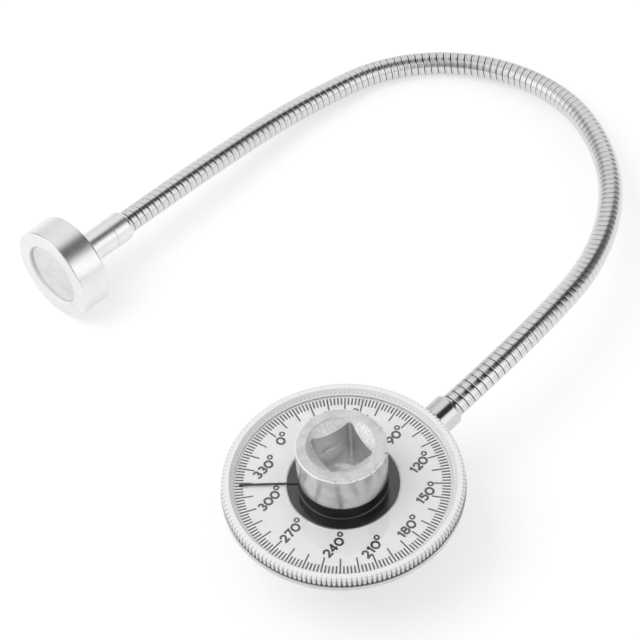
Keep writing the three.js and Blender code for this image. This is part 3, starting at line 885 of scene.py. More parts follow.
@dataclass
class DriveBody:
    """The steel drive in one piece: male square, spindle, journal and socket head, and its ball."""

    columns: int = 240
    square_half: float = 6.35
    square_inner: float = 5.6
    square_top: float = 15.4
    tip_edge: float = 0.35
    tip_radius: float = 7.65
    centre_radius: float = 1.0
    centre_depth: float = 0.9
    spindle_radius: float = 9.0
    spindle_step: float = 0.52
    spindle_edges: tuple[float, ...] = (0.0, 0.4, 0.05, 0.0, 0.0, 0.05, 0.0, 0.2, 0.0, 0.35)
    groove_radius: float = 8.3
    groove_low: float = 16.1
    groove_high: float = 17.3
    journal_radius: float = 10.6
    journal_low: float = 27.2
    head_radius: float = 12.65
    head_low: float = 31.95
    head_high: float = 44.2
    head_edge: float = 0.4
    socket_half: float = 6.4
    socket_inner: float = 5.6
    # Painted shade on the socket's walls: its width on the flats and the corner cuts, and its least
    # share at the mouth.
    grease_flat: float = 0.8
    grease_cut: float = 0.22
    grease_mouth: float = 0.15
    socket_floor: float = 27.7
    drill_radius: float = 6.1
    drill_angle: float = 59.0
    sink_radius: float = 9.55
    sink_slope: float = 5.0 / 3.4
    sink_edge: float = 0.12
    sink_start: float = 0.3
    sink_bands: int = 4
    lens_middle: float = 35.7
    lens_half: float = 1.8
    lens_depth: float = 0.7
    lens_rows: int = 25
    ball_radius: float = 2.5
    ball_place: tuple[float, float, float] = (0.0, -5.05, 7.6)
    ball_rows: int = 25
    ball_sides: int = 48
    bore_radius: float = 2.8
    bore_depth: float = 9.4
    bore_lip: float = 0.35
    bore_lip_depth: float = 0.9

    def surface(self) -> tuple[Surface, np.ndarray]:
        """Work out the body as r(t, row), z(t, row), from the tip's middle up and into the socket.

        The square and the socket take the radius of a square with cut corners, and the walls bulge
        to half + depth (1 - 2 share^2) at the hollow for the wrench's ball, where that is more. The
        last rows of the countersink end where its cone meets the socket's walls, and a drill's cone
        lies below the socket's floor. The painted shade on the walls is exp(-(d / width)^2), where
        d is how
        far a point lies from the corner cut's edge, and at least a share that grows towards the
        mouth:
        it stands in for the shade in the socket's corners and towards its mouth.

        Returns:
            The closed surface, and the painted shade at each point.
        """
        squares = (self.square_half, self.square_inner), (self.socket_half, self.socket_inner)
        ends = [math.atan2(*pair) for square in squares for pair in (square, square[::-1])]
        quarters = np.add.outer(np.arange(4) * np.pi / 2, ends).reshape(-1)
        turn = np.unique(np.round(np.concatenate([circle(self.columns), quarters]), 6))
        square = cut_square(turn, self.square_half, self.square_inner)
        socket = cut_square(turn, self.socket_half, self.socket_inner)
        rise = self.head_high - (self.sink_radius - socket) / self.sink_slope
        tip = [
            (0.0, self.centre_depth),
            (self.centre_radius, 0.0),
            (np.minimum(square - self.tip_edge, self.tip_radius), 0.0),
            (square, np.maximum(self.tip_edge, square - self.tip_radius)),
            (square, self.square_top),
        ]
        fall = self.sink_start / self.sink_slope
        steps = [
            (self.spindle_radius - self.spindle_step, self.square_top),
            (self.spindle_radius, self.groove_low),
            (self.groove_radius, self.groove_high),
            (self.spindle_radius, self.journal_low),
            (self.journal_radius, self.head_low),
            (self.head_radius, self.head_high),
        ]
        corners = stairs(steps, self.sink_radius)
        corners.append((self.sink_radius - self.sink_start, self.head_high - fall))
        edges = (*self.spindle_edges, self.head_edge, self.sink_edge, 0.0)
        spindle = rounded(corners, edges)
        share = np.linspace(1, -1, self.lens_rows)
        swell = self.socket_half + self.lens_depth * (1 - 2 * share**2)
        lens = [
            (np.maximum(socket, radius), self.lens_middle + self.lens_half * place)
            for radius, place in zip(swell, share)
        ]
        point = self.socket_floor - self.drill_radius / math.tan(math.radians(self.drill_angle))
        walls = [
            (socket + self.sink_edge, rise + self.sink_edge / self.sink_slope),
            (socket, rise - self.sink_edge),
            *lens,
            (socket, self.socket_floor),
            (self.drill_radius, self.socket_floor),
            (0.0, point),
        ]
        rows = [np.broadcast_arrays(*row, turn)[:2] for row in (*tip, *spindle, *walls)]
        radius, height = np.array(rows).swapaxes(0, 1)
        points = polar(radius, turn, height)
        flat = len(tip) - 2
        sink = len(tip) + len(spindle) - self.sink_bands
        band = np.arange(len(rows) - 1)
        finish = np.select(
            [band < flat, band == flat, band < sink, band < sink + self.sink_bands],
            [Steel.TURNED, Steel.GROUND, Steel.TURNED, Steel.BLASTED],
            Steel.BROACHED,
        )
        finish[-2:] = Steel.DRILLED
        # The head's rounded upper edge gets the painted highlight.
        outside = between(radius[:, 0])[:-1] > self.head_radius - self.head_edge - SUPPORT
        above = between(height[:, 0])[:-1] > self.head_high - self.head_edge
        finish[outside & above] = Steel.BURNISHED
        # Painted shade: darker beside each corner cut and towards the mouth, and none outside the
        # socket.
        beside = np.minimum(np.abs(points[..., 0]), np.abs(points[..., 1])) - self.socket_inner
        width = np.where(beside > 0, self.grease_cut, self.grease_flat)
        share = (height - self.socket_floor) / (self.head_high - self.socket_floor)
        mouth = self.grease_mouth * np.clip(share, 0, 1)
        grease = np.maximum(np.exp(-((beside / width) ** 2)), mouth)
        grease[: len(tip) + len(spindle)] = 0
        return lattice(points, finish=finish), grease.reshape(-1)

    def seat(self) -> Matrix:
        """Give the frame of the ball's bore, whose Z leaves the flat that faces -Y."""
        place = Vector((0, -self.square_half, self.ball_place[2]))
        return Matrix.Translation(place) @ Matrix.Rotation(math.pi / 2, 4, "X")

    def build(self) -> list[Object]:
        """Make the body and its ball.

        Returns:
            The two pieces.
        """
        # Bare turned steel: greyish, half bright, with fine rings and finger marks.
        bare = TurnedMetal(
            "turned_steel",
            "#d8d8d8",
            0.24,
            ring_depth=0.0008,
            cloud_colour="#b2b2b2",
            cloud_share=0.6,
            rough_swing=0.03,
        )
        # Heat treated and blasted steel in the countersink: brighter, softly mottled.
        blasted = BlastedSteel("blasted_steel", "#ffffff", 0.62, spot_depth=0.005, dull="#ececec")
        # Broached steel: drawn streaks down the walls, with painted shade by the corners and the
        # mouth.
        broached = StreakedSteel(
            "broached_steel", "#ffffff", 0.45, dark="#f4f4f4", grease="#e0e0e0"
        )
        # Drilled steel in the cone at the socket's floor: bright, it catches light from above.
        drilled = BlastedSteel("drilled_steel", "#ffffff", 0.4, spot_depth=0.004, dull="#f0f0f0")
        # Burnished steel on the head's upper edge: white as a painted highlight line, with a few
        # dark nicks from use.
        edge = BlastedSteel(
            "burnished_edge_painted_highlight", "#ffffff", 0.65, dull="#505050", low=0.36, high=0.39
        )
        # Ground steel on the male square: mid grey, with straight streaks from the wheel.
        ground = StreakedSteel("ground_steel", "#c6c6c6", 0.3, dark="#a6a6a6")
        metals = {
            Steel.TURNED: bare,
            Steel.BLASTED: blasted,
            Steel.BROACHED: broached,
            Steel.DRILLED: drilled,
            Steel.BURNISHED: edge,
            Steel.GROUND: ground,
        }
        finishes = [metals[steel].material() for steel in Steel]
        surface, grease = self.surface()
        body = make_piece("drive_steel_body", [surface], finishes, grease)
        mouth = self.bore_radius - self.bore_lip
        bore = [
            (0.0, -self.bore_depth),
            (self.bore_radius, -self.bore_depth),
            (self.bore_radius, -self.bore_lip_depth),
            (mouth, 0.0),
            (mouth, PAST),
            (0.0, PAST),
        ]
        combine(body, turned(np.array(bore), self.ball_sides).placed(self.seat()), Join.CUT)
        settle(body, "drive", "drive_steel", "drive_body")
        lift = np.linspace(-np.pi / 2, np.pi / 2, self.ball_rows)
        profile = self.ball_radius * np.stack([np.cos(lift), np.sin(lift)], axis=-1)
        place = Matrix.Translation(self.ball_place)
        sphere = turned(profile, self.ball_sides).placed(place)
        # Ball bearing steel: ground and lapped to a clear mirror.
        lapped = TurnedMetal(
            "lapped_ball_steel", "#c2c2c2", 0.12, ring_depth=0.0005, rough_swing=0.03
        )
        ball = make_piece("detent_steel_ball", [sphere], [lapped.material()])
        settle(ball, "detent", "spring_steel", "detent_ball")
        return [body, ball]


@dataclass
class DetentSpring:
    """The coil spring behind the ball, made at one length."""

    coil_radius: float = 1.65
    wire_radius: float = 0.25
    curls: int = 4
    steps: int = 160
    sides: int = 12
    front: float = -2.25
    back: float = 2.75
    height: float = 7.6
    travel: float = 1.1

    def build(self, metal: Material) -> Object:
        """Make the spring as a circle carried along a helix about Y, with its ends closed.

        The middle line is (R cos a, y, z - R sin a), and the circle turns from the way out of the
        axis towards the way that is square to it and to the line.

        Args:
            metal: its material.

        Returns:
            The spring.
        """
        angle = np.linspace(0, 2 * np.pi * self.curls, self.steps + 1)
        out = np.stack([np.cos(angle), np.zeros_like(angle), -np.sin(angle)], axis=-1)
        ends = self.front + self.wire_radius, self.back - self.wire_radius
        rise = np.linspace((0, ends[0], self.height), (0, ends[1], self.height), len(angle))
        line = out * self.coil_radius + rise
        across = unit(np.cross(unit(np.gradient(line, axis=0)), out))
        turn = circle(self.sides)[:, None]
        ring = out[:, None] * np.cos(turn) + across[:, None] * np.sin(turn)
        points = line[:, None] + ring * self.wire_radius
        caps = np.repeat(line[[0, -1], None], self.sides, axis=1)
        points = np.concatenate([caps[:1], points, caps[1:]])
        spring = make_piece("detent_coil_spring", [lattice(points)], [metal])
        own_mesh(spring)
        return settle(spring, "drive", "spring_steel", "detent_spring")


@dataclass
class PointerHub:
    """The black disc and collar on the drive, and the needle that stands in the collar."""

    sides: int = 160
    bore: float = 10.9
    disc_radius: float = 15.67
    disc_low: float = 26.75
    disc_high: float = 27.35
    collar_radius: float = 12.3
    collar_high: float = 31.8
    needle_angle: float = 152.2
    needle_reach: float = 28.9
    needle_half: float = 0.325
    needle_tip_half: float = 0.35
    needle_low: float = 27.45
    needle_high: float = 27.8
    needle_root: float = 12.1
    needle_point: float = 0.4
    needle_slant: float = 0.8
    needle_columns: int = 9
    edges: tuple[float, ...] = (0.1, 0.1, 0.12, 0.45, 0.3, 0.15)

    def build(self) -> list[Object]:
        """Make the hub and the needle.

        The needle's section is a half ellipse over a flat, w(s) wide to each side and h high, where
        w goes evenly from the root to the point.

        Returns:
            The two pieces.
        """
        steps = [
            (self.bore, self.disc_low),
            (self.disc_radius, self.disc_high),
            (self.collar_radius, self.collar_high),
        ]
        section = rounded(stairs(steps, self.bore), self.edges, closed=True)
        # Black anodised aluminium, turned: deep grey with a clear sheen and hardly seen rings.
        black = GrainedSurface(
            "black_anodised_aluminium",
            "#202020",
            0.16,
            grain_size=0.25,
            grain_depth=0.002,
            blotch_colour="#2c2c2c",
            index=1.8,
        )
        dark = black.material()
        hub = make_piece("pointer_black_hub", [turned(section, self.sides, closed=True)], [dark])
        settle(hub, "drive", "pointer_black", "pointer_hub")
        root, end, tip = self.needle_root, self.needle_reach, self.needle_tip_half
        reach = np.array([root, root, end - self.needle_point, end, end])
        width = np.array([0.0, self.needle_half, tip, tip / 2, 0.0])
        height = np.array([0, 1, 1, self.needle_slant, 0]) * (self.needle_high - self.needle_low)
        arch = np.linspace(0, np.pi, self.needle_columns)
        side = width[:, None] * np.r_[np.cos(arch), -0.5, 0.5]
        lift = self.needle_low + height[:, None] * np.r_[np.sin(arch), 0, 0]
        points = np.stack([np.broadcast_to(reach[:, None], side.shape), side, lift], axis=-1)
        turn = Matrix.Rotation(math.radians(self.needle_angle), 4, "Z")
        needle = make_piece("pointer_needle", [lattice(points).placed(turn)], [dark])
        settle(needle, "drive", "pointer_black", "needle")
        return [hub, needle]


# Dial.


@dataclass(frozen=True)
class Glyphs:
    """Middle lines of bold sans digits, as shares of the height between the strokes' middles."""

    steps: int = 24

    def arc(
        self,
        x: float,
        y: float,
        rx: float,
        ry: float,
        start: float = 0.0,
        end: float = 360.0,
    ) -> np.ndarray:
        """Give points (x + rx cos a, y + ry sin a), for a from start to end in degrees."""
        angle = np.radians(np.linspace(start, end, self.steps + 1))
        return np.stack([x + rx * np.cos(angle), y + ry * np.sin(angle)], axis=-1)

    def strokes(self) -> dict[str, tuple[float, list]]:
        """Give each digit's width and strokes.

        Returns:
            The width between the outermost middle lines, and the strokes, by digit.
        """
        ring = self.arc
        top, low = ring(0.3, 0.75, 0.27, 0.25, 155, -90), ring(0.3, 0.25, 0.34, 0.25, 90, -155)
        hook = [*ring(0.33, 0.68, 0.31, 0.32, 168, -36), (0.1, 0.03)]
        flag = [(0.66, 1.0), (0.13, 1.0), (0.08, 0.55)]
        return {
            "0": (0.9, [ring(0.45, 0.5, 0.45, 0.5)]),
            "1": (0.34, [[(-0.02, 0.76), (0.26, 0.98)], [(0.27, 1.1), (0.27, -0.1)]]),
            "2": (0.66, [hook, [(-0.08, 0.0), (0.76, 0.0)]]),
            "3": (0.66, [top, low]),
            "4": (0.74, [[(0.8, 0.25), (0.0, 0.25), (0.56, 1.02)], [(0.54, 1.1), (0.54, -0.1)]]),
            "5": (0.66, [flag, ring(0.3, 0.32, 0.35, 0.32, 128, -150)]),
            "6": (0.74, [ring(0.37, 0.33, 0.37, 0.33), [(0.6, 1.08), (0.06, 0.48)]]),
            "7": (0.68, [[(-0.06, 1.0), (0.68, 1.0), (0.24, -0.1)]]),
            "8": (0.72, [ring(0.36, 0.75, 0.28, 0.25), ring(0.36, 0.27, 0.36, 0.27)]),
            "9": (0.74, [ring(0.37, 0.67, 0.37, 0.33), [(0.14, -0.08), (0.68, 0.52)]]),
        }


def axes_at(turn: float) -> np.ndarray:
    """Give the unit vectors (cos t, sin t) and (-sin t, cos t), as rows."""
    return np.array([(math.cos(turn), math.sin(turn)), (-math.sin(turn), math.cos(turn))])


def ribbon(path: np.ndarray, width: float, low: float, high: float) -> Surface:
    """Make a flat bar along a path: p +- n w/2, with the normals of both sides of a corner mitred.

    Args:
        path: points in the plane, closed where the last is the first.
        width: the bar's width.
        low: its underside's height.
        high: its top's height.

    Returns:
        The closed surface.
    """
    loop = bool(np.allclose(path[0], path[-1]))
    line = path[:-1] if loop else path
    step = unit(np.roll(line, -1, axis=0) - line)
    normal = np.stack([-step[:, 1], step[:, 0]], axis=-1)
    last = np.roll(normal, 1, axis=0)
    if not loop:
        normal[-1] = last[-1]
        last[0] = normal[0]
    mitre = (normal + last) / np.maximum(1 + np.sum(normal * last, axis=1, keepdims=True), MITRE)
    left, right = line + mitre * width / 2, line - mitre * width / 2
    corners = [(right, low), (right, high), (left, high), (left, low)]
    rows = np.stack([np.insert(side, 2, lift, axis=1) for side, lift in corners], axis=1)
    if not loop:
        middle = np.insert(line[[0, -1]], 2, (low + high) / 2, axis=1)
        caps = np.repeat(middle[:, None], len(corners), axis=1)
        rows = np.concatenate([caps[:1], rows, caps[1:]])
    return lattice(rows, loop_rows=loop)


@dataclass
class Scale:
    """The white plate with its ink: degree marks, numbers every thirty degrees and degree signs."""

    sides: int = 160
    bore: float = 13.4
    radius: float = 30.65
    low: float = 26.0
    high: float = 26.6
    zero_angle: float = 110.1
    mark_outer: float = 30.0
    long_inner: float = 25.05
    short_inner: float = 27.6
    mark_width: float = 0.43
    mark_step: int = 2
    ink: float = 0.02
    layer: float = 0.004
    baseline: float = 22.0
    digit_height: float = 2.92
    stroke: float = 0.64
    spacing: float = 0.02
    sign_radius: float = 0.63
    sign_stroke: float = 0.48
    sign_along: float = 2.1
    sign_up: float = 1.3
    shift: tuple[float, float] = (-0.17, 0.03)
    number_shift: tuple[float, float] = (-0.23, -0.11)
    number_step: int = 30
    number_places: tuple[tuple[float, float], ...] = (
        (23.2, -0.1),
        (21.0, 0.0),
        (22.4, 1.8),
        (21.4, -0.3),
        (22.15, -1.0),
        (23.3, 0.2),
        (23.4, 0.0),
        (23.3, 0.4),
        (21.1, 1.8),
        (21.4, -0.1),
        (20.8, -1.6),
        (22.7, -1.2),
    )
    edges: tuple[float, ...] = (0.0, 0.05, 0.05, 0.1)

    def marks(self) -> Surface:
        """Work out all the degree marks at once, as flat bars along the radii.

        Returns:
            One surface of six faces a mark.
        """
        value = np.arange(0, 360, self.mark_step)
        turn = np.radians(self.zero_angle - value)
        inner = np.where(value % 10 == 0, self.long_inner, self.short_inner)
        out = np.stack([np.cos(turn), np.sin(turn)], axis=-1)[:, None]
        side = np.stack([-np.sin(turn), np.cos(turn)], axis=-1)[:, None] * self.mark_width / 2
        reach = np.stack([inner, np.full(inner.shape, self.mark_outer)], axis=-1)
        near, far = out * reach[:, :1, None], out * reach[:, 1:, None]
        flat = np.concatenate([near - side, far - side, far + side, near + side], axis=1)
        lift = np.array([self.high, self.high + self.ink])
        ring = np.broadcast_to((flat + self.shift)[:, None], (len(value), 2, 4, 2))
        height = np.broadcast_to(lift[None, :, None, None], (len(value), 2, 4, 1))
        points = np.concatenate([ring, height], axis=-1).reshape(-1, 3)
        walls = [(k, (k + 1) % 4, (k + 1) % 4 + 4, k + 4) for k in range(4)]
        cube = np.array([(0, 3, 2, 1), (4, 5, 6, 7), *walls])
        faces = (np.arange(len(value))[:, None, None] * 8 + cube).reshape(-1, 4)
        return Surface(points, faces, np.zeros(len(faces), dtype=int))

    def number(self, value: int, glyphs: Glyphs) -> list[Surface]:
        """Set one number with its degree sign, upright to the baseline that all numbers share.

        The middle of the digits lies at a radius r and a sideways shift t from the number's own
        mark: r (cos a, sin a) + t (-sin a, cos a).

        Args:
            value: the number of degrees.
            glyphs: the digits' strokes.

        Returns:
            The strokes' surfaces.
        """
        scale = self.digit_height - self.stroke
        shapes = glyphs.strokes()
        widths = np.array([shapes[digit][0] * scale + self.stroke for digit in str(value)])
        starts = np.r_[0, np.cumsum(widths + self.spacing)[:-1]] + self.stroke / 2
        lines = [
            (np.array(stroke) * scale + (start, self.stroke / 2), self.stroke)
            for digit, start in zip(str(value), starts)
            for stroke in shapes[digit][1]
        ]
        last = starts[-1] + shapes[str(value)[-1]][0] * scale / 2
        place = last + self.sign_along, self.digit_height / 2 + self.sign_up
        sign = glyphs.arc(*place, self.sign_radius, self.sign_radius)
        lines.append((sign, self.sign_stroke))
        middle = np.array([(starts[-1] + widths[-1]) / 2, self.digit_height / 2])
        out, across = axes_at(math.radians(self.zero_angle - value))
        reach, aside = self.number_places[value // self.number_step]
        centre = reach * out + aside * across + self.number_shift
        axes = axes_at(math.radians(self.baseline))
        top = self.high + self.ink
        return [
            ribbon((line - middle) @ axes + centre, wide, self.high, top + self.layer * i)
            for i, (line, wide) in enumerate(lines)
        ]

    def build(self) -> list[Object]:
        """Make the plate and its ink.

        Returns:
            The two pieces.
        """
        section = plain_ring(self.bore, self.radius, self.low, self.high, self.edges)
        disc = turned(section, self.sides, closed=True)
        # White baked enamel on sheet aluminium: matt and even, with a fine orange peel.
        enamel = GrainedSurface(
            "white_baked_enamel",
            "#ffffff",
            0.45,
            grain_size=0.5,
            blotch_size=9.0,
            blotch_colour="#f8f8f8",
        )
        plate = make_piece("scale_enamelled_plate", [disc], [enamel.material()])
        settle(plate, "dial", "scale_white", "scale_plate")
        glyphs = Glyphs()
        values = range(0, 360, self.number_step)
        numbers = [part for value in values for part in self.number(value, glyphs)]
        # Screen printed ink: dark grey rather than black, a little uneven where it lies thin.
        ink = GrainedSurface(
            "screen_printed_ink",
            "#2b2b2b",
            0.5,
            grain_size=0.2,
            blotch_size=1.5,
            blotch_colour="#4a4a4a",
        )
        printed = make_piece("scale_printed_marks", [self.marks(), *numbers], [ink.material()])
        settle(printed, "dial", "pointer_black")
        return [plate, printed]


@dataclass
class ClearCover:
    """The clear cover: a flat window over the scale inside a raised, knurled rim."""

    teeth: int = 154
    tooth_columns: int = 6
    hole: float = 15.97
    seat: float = 30.7
    bottom: float = 26.5
    window_low: float = 26.75
    window_high: float = 27.35
    foot_radius: float = 30.6
    lip_radius: float = 31.45
    land_inner: float = 31.6
    shoulder: float = 33.35
    knurl_radius: float = 33.85
    knurl_depth: float = 0.4
    knurl_high: float = 28.81
    high: float = 29.26
    lip_drop: float = 0.4
    # Painted shade: how much it falls off up the knurl, and its share at the ticks and on the land.
    dust_fall: float = 0.45
    tick_share: float = 0.55
    tick_radius: float = 31.1
    tick_height: float = 28.05
    land_share: float = 0.5
    knurl_start: float = 0.05
    edges: tuple[float, ...] = (
        *(0.05, 0.0, 0.0, 0.12, 0.15, 0.05),
        *(0.42, 0.2, 0.4, 0.0, 0.15, 0.06),
    )

    def surface(self) -> tuple[Surface, np.ndarray]:
        """Work out the cover as a ring whose outer wall is knurled.

        The wall's radius is crest - depth (1 - |sin(n t / 2)|), so n round teeth meet in sharp
        grooves, and the share of that depth is one on the wall and none elsewhere. Painted shade
        stands in for the grooves seen through the milky rim, as faint ticks halfway up its inner
        wall and towards the land's outer edge.

        Returns:
            The closed surface, and the painted shade at each point, most at the foot of the
            grooves.
        """
        steps = [
            (self.hole, self.window_low),
            (self.seat, self.bottom),
            (self.knurl_radius, self.knurl_high),
            (self.shoulder, self.high),
        ]
        corners = [
            *stairs(steps, self.land_inner),
            (self.lip_radius, self.high - self.lip_drop),
            (self.tick_radius, self.tick_height),
            (self.foot_radius, self.window_high),
            (self.hole, self.window_high),
        ]
        section = rounded(corners, self.edges, closed=True)
        radius, height = section[:, :1], section[:, 1:]
        turn = circle(self.teeth * self.tooth_columns)
        wave = 1 - np.abs(np.sin(self.teeth * turn / 2))
        floor = self.shoulder + self.knurl_start
        share = np.clip((radius - floor) / (self.knurl_radius - self.knurl_depth - floor), 0, 1)
        radius = radius - self.knurl_depth * share * wave
        points = polar(radius, turn, height)
        middle, lift = between(section).T
        wall = (middle < self.land_inner) & (lift > self.window_high)
        window = middle <= self.foot_radius - SUPPORT
        finish = np.select([window, wall], [Acrylic.WINDOW, Acrylic.WALL], Acrylic.RIM)
        # Painted shade: most at the foot of the knurl's grooves and less up the wall, with ticks on
        # the inner wall and the land where the grooves would show through.
        rise = np.clip((height - self.bottom) / (self.knurl_high - self.bottom), 0, 1)
        dust = share * wave * (1 - self.dust_fall * rise)
        dust = np.where(np.isclose(radius, self.tick_radius), self.tick_share * wave, dust)
        reach = np.clip((radius - self.land_inner) / (self.shoulder - self.land_inner), 0, 1)
        dust = np.where(height > self.knurl_high, self.land_share * reach * wave, dust)
        return lattice(points, loop_rows=True, finish=finish), dust.reshape(-1)

    def build(self) -> Object:
        """Make the cover.

        Returns:
            The piece.
        """
        # Clear acrylic, turned and polished: it shows the plate with a faint gloss over it.
        clear = ClearAcrylic("clear_polished_acrylic", "#ffffff", 0.02, specular=0.3)
        # The same acrylic as the cutter leaves it: milky white, with a hint of what is behind.
        milky = ClearAcrylic("milky_cut_acrylic", "#f5f5f5", 0.22, haze=0.96, dust="#707070")
        # The rim's inner wall: a whiter copy of the milky acrylic, painted light for what comes
        # through it from outside.
        bright = ClearAcrylic("milky_acrylic_painted_light", "#ffffff", 0.3, haze=1.0, dust="#808080")
        surface, groove = self.surface()
        acrylics = {Acrylic.WINDOW: clear, Acrylic.RIM: milky, Acrylic.WALL: bright}
        finishes = [acrylics[acrylic].material() for acrylic in Acrylic]
        cover = make_piece("clear_knurled_cover", [surface], finishes, groove)
        return settle(cover, "dial", "cover_clear", "clear_cover")


# Base.


@dataclass(frozen=True)
class ArmMount:
    """Where the hose leaves the base: the frame at the mouth of the ferrule."""

    place: tuple[float, float, float] = (40.4596, 10.0877, 23.9)
    heading: float = 14.0
    climb: float = 9.5

    def seat(self) -> Matrix:
        """Give the mount's frame, whose Z runs out of the ferrule's mouth."""
        return seat_at(Vector(self.place), math.radians(self.heading), math.radians(self.climb))


@dataclass
class BaseHousing:
    """The fixed base: an open shell with a boss and a flange, a lug, and what is held in it."""

    sides: int = 160
    radius: float = 28.0
    low: float = 18.2
    flange_low: float = 24.65
    flange_high: float = 26.15
    flange_radius: float = 34.1
    pocket_radius: float = 31.2
    pocket_floor: float = 25.35
    inside: float = 25.5
    floor: float = 20.2
    boss_radius: float = 13.1
    boss_high: float = 26.5
    bore: float = 10.7
    lug_radius: float = 3.4
    lug_face: float = -6.9
    lug_end: float = -18.9
    stud_bore: float = 2.3
    stud_end: float = -17.5
    grub_bore: float = 1.6
    grub_place: float = -10.8
    bush_inner: float = 9.2
    bush_outer: float = 10.4
    bush_high: float = 27.0
    ring_inner: float = 8.6
    ring_outer: float = 11.2
    ring_low: float = 16.2
    ring_high: float = 17.2
    ring_mouth: float = 3.5
    wave_inner: float = 9.3
    wave_outer: float = 12.5
    wave_middle: float = 17.7
    wave_height: float = 0.12
    wave_half: float = 0.175
    wave_count: int = 3
    shell_edges: tuple[float, ...] = (
        *(0.3, 0.6, 0.25, 0.25, 0.25, 0.1),
        *(0.0, 0.1, 0.5, 0.5, 0.2, 0.2),
    )
    lug_edge: float = 0.3
    bush_edge: float = 0.15
    ring_edges: tuple[float, ...] = (0.08, 0.12, 0.12, 0.08)
    wave_edge: float = 0.06
    hole_sides: int = 64
    bush_sides: int = 120
    ring_rows: int = 121
    wave_columns: int = 144

    def shell(self, mount: ArmMount) -> Object:
        """Make the housing with its lug and holes.

        Args:
            mount: where the arm is mounted.

        Returns:
            The housing.
        """
        steps = [
            (self.bore, self.low),
            (self.radius, self.flange_low),
            (self.flange_radius, self.flange_high),
            (self.pocket_radius, self.pocket_floor),
            (self.inside, self.floor),
            (self.boss_radius, self.boss_high),
        ]
        section = rounded(stairs(steps, self.bore), self.shell_edges, closed=True)
        # Aluminium alloy, turned and left satin: pale, with soft highlights and faint rings.
        alloy = TurnedMetal(
            "satin_turned_aluminium",
            "#d2d2d2",
            0.36,
            ring_pitch=0.5,
            cloud_colour="#b4b4b4",
            cloud_share=0.4,
        )
        form = turned(section, self.sides, closed=True)
        shell = make_piece("base_alloy_housing", [form], [alloy.material()])
        seat = mount.seat()
        side = Matrix.Translation((0, 0, self.grub_place)) @ Matrix.Rotation(math.pi / 2, 4, "X")
        for join, radius, low, high, edge, place in (
            (Join.ADD, self.lug_radius, self.lug_end, self.lug_face, self.lug_edge, seat),
            (Join.CUT, self.flange_radius, self.low - self.lug_radius, self.low, 0.0, Matrix()),
            (Join.CUT, self.stud_bore, self.stud_end, self.lug_face + PAST, 0.0, seat),
            (Join.CUT, self.grub_bore, 0.0, self.lug_radius + PAST, 0.0, seat @ side),
        ):
            plug = rounded(stairs([(0.0, low), (radius, high)], 0.0), (0.0, 0.0, edge, 0.0))
            combine(shell, turned(plug, self.hole_sides).placed(place), join)
        return settle(shell, "housing", "base_alloy", "base_housing")

    def bush(self) -> Object:
        """Make the spindle's bush.

        Returns:
            The bush.
        """
        size = self.bush_inner, self.bush_outer, self.low, self.bush_high
        sleeve = turned(plain_ring(*size, self.bush_edge), self.bush_sides, closed=True)
        # Sintered bronze, full of oil: dull brown yellow with fine pores.
        bronze = GrainedSurface(
            "sintered_bronze",
            "#a98c5c",
            0.45,
            grain_size=0.18,
            grain_depth=0.03,
            blotch_colour="#7d6540",
            metallic=1.0,
        )
        bush = make_piece("spindle_bronze_bush", [sleeve], [bronze.material()])
        return settle(bush, "housing", "bush_bronze", "spindle_bush")

    def ring(self, metal: Material) -> Object:
        """Make the open retaining ring: its section swept from one side of the mouth to the other.

        Args:
            metal: its material.

        Returns:
            The ring.
        """
        size = self.ring_inner, self.ring_outer, self.ring_low, self.ring_high
        section = plain_ring(*size, self.ring_edges)
        mouth = math.asin(self.ring_mouth / self.ring_inner)
        turn = np.linspace(mouth, 2 * np.pi - mouth, self.ring_rows)
        core = section.mean(axis=0)
        full = np.pad(np.ones(self.ring_rows), 1)
        radius = core[0] + (section[:, :1] - core[0]) * full
        height = core[1] + (section[:, 1:] - core[1]) * full
        points = polar(radius, np.pad(turn, 1, mode="edge"), height)
        form = lattice(points, loop_rows=True, loop_columns=False)
        ring = make_piece("spindle_retaining_ring", [form], [metal])
        return settle(ring, "drive", "spring_steel", "retaining_ring")

    def wave(self, metal: Material) -> Object:
        """Make the wave washer, whose height is middle - wave sin(3 t).

        Args:
            metal: its material.

        Returns:
            The washer.
        """
        size = self.wave_inner, self.wave_outer, -self.wave_half, self.wave_half
        section = plain_ring(*size, self.wave_edge)
        turn = circle(self.wave_columns)
        wave = self.wave_height * np.sin(-self.wave_count * turn)
        points = polar(section[:, :1], turn, self.wave_middle + section[:, 1:] + wave)
        washer = make_piece("base_wave_washer", [lattice(points, loop_rows=True)], [metal])
        return settle(washer, "housing", "spring_steel", "wave_washer")

    def build(self, mount: ArmMount, metal: Material) -> list[Object]:
        """Make the housing, the bush, the ring and the washer, and dress what stays as it is.

        Args:
            mount: where the arm is mounted.
            metal: the spring steel.

        Returns:
            The new pieces.
        """
        pieces = [self.shell(mount), self.bush(), self.ring(metal), self.wave(metal)]
        # Nitrile rubber, pressed: matt black with a fine grain.
        rubber = GrainedSurface(
            "nitrile_rubber", "#262626", 0.75, grain_size=0.2, blotch_colour="#333333"
        ).material()
        # Blackened steel screws: nearly black with a slight oily sheen.
        oxide = TurnedMetal(
            "blackened_screw_steel", "#3d3d3d", 0.35, ring_pitch=0.2, cloud_colour="#262626"
        ).material()
        dressed = {
            "friction_washer": rubber,
            "arm_stud": metal,
            "magnet_spacer": metal,
            "stud_grub_screw": oxide,
            "cup_screw": oxide,
        }
        for node, material in dressed.items():
            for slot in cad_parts[node].material_slots:
                slot.material = material
        return pieces


# Arm.


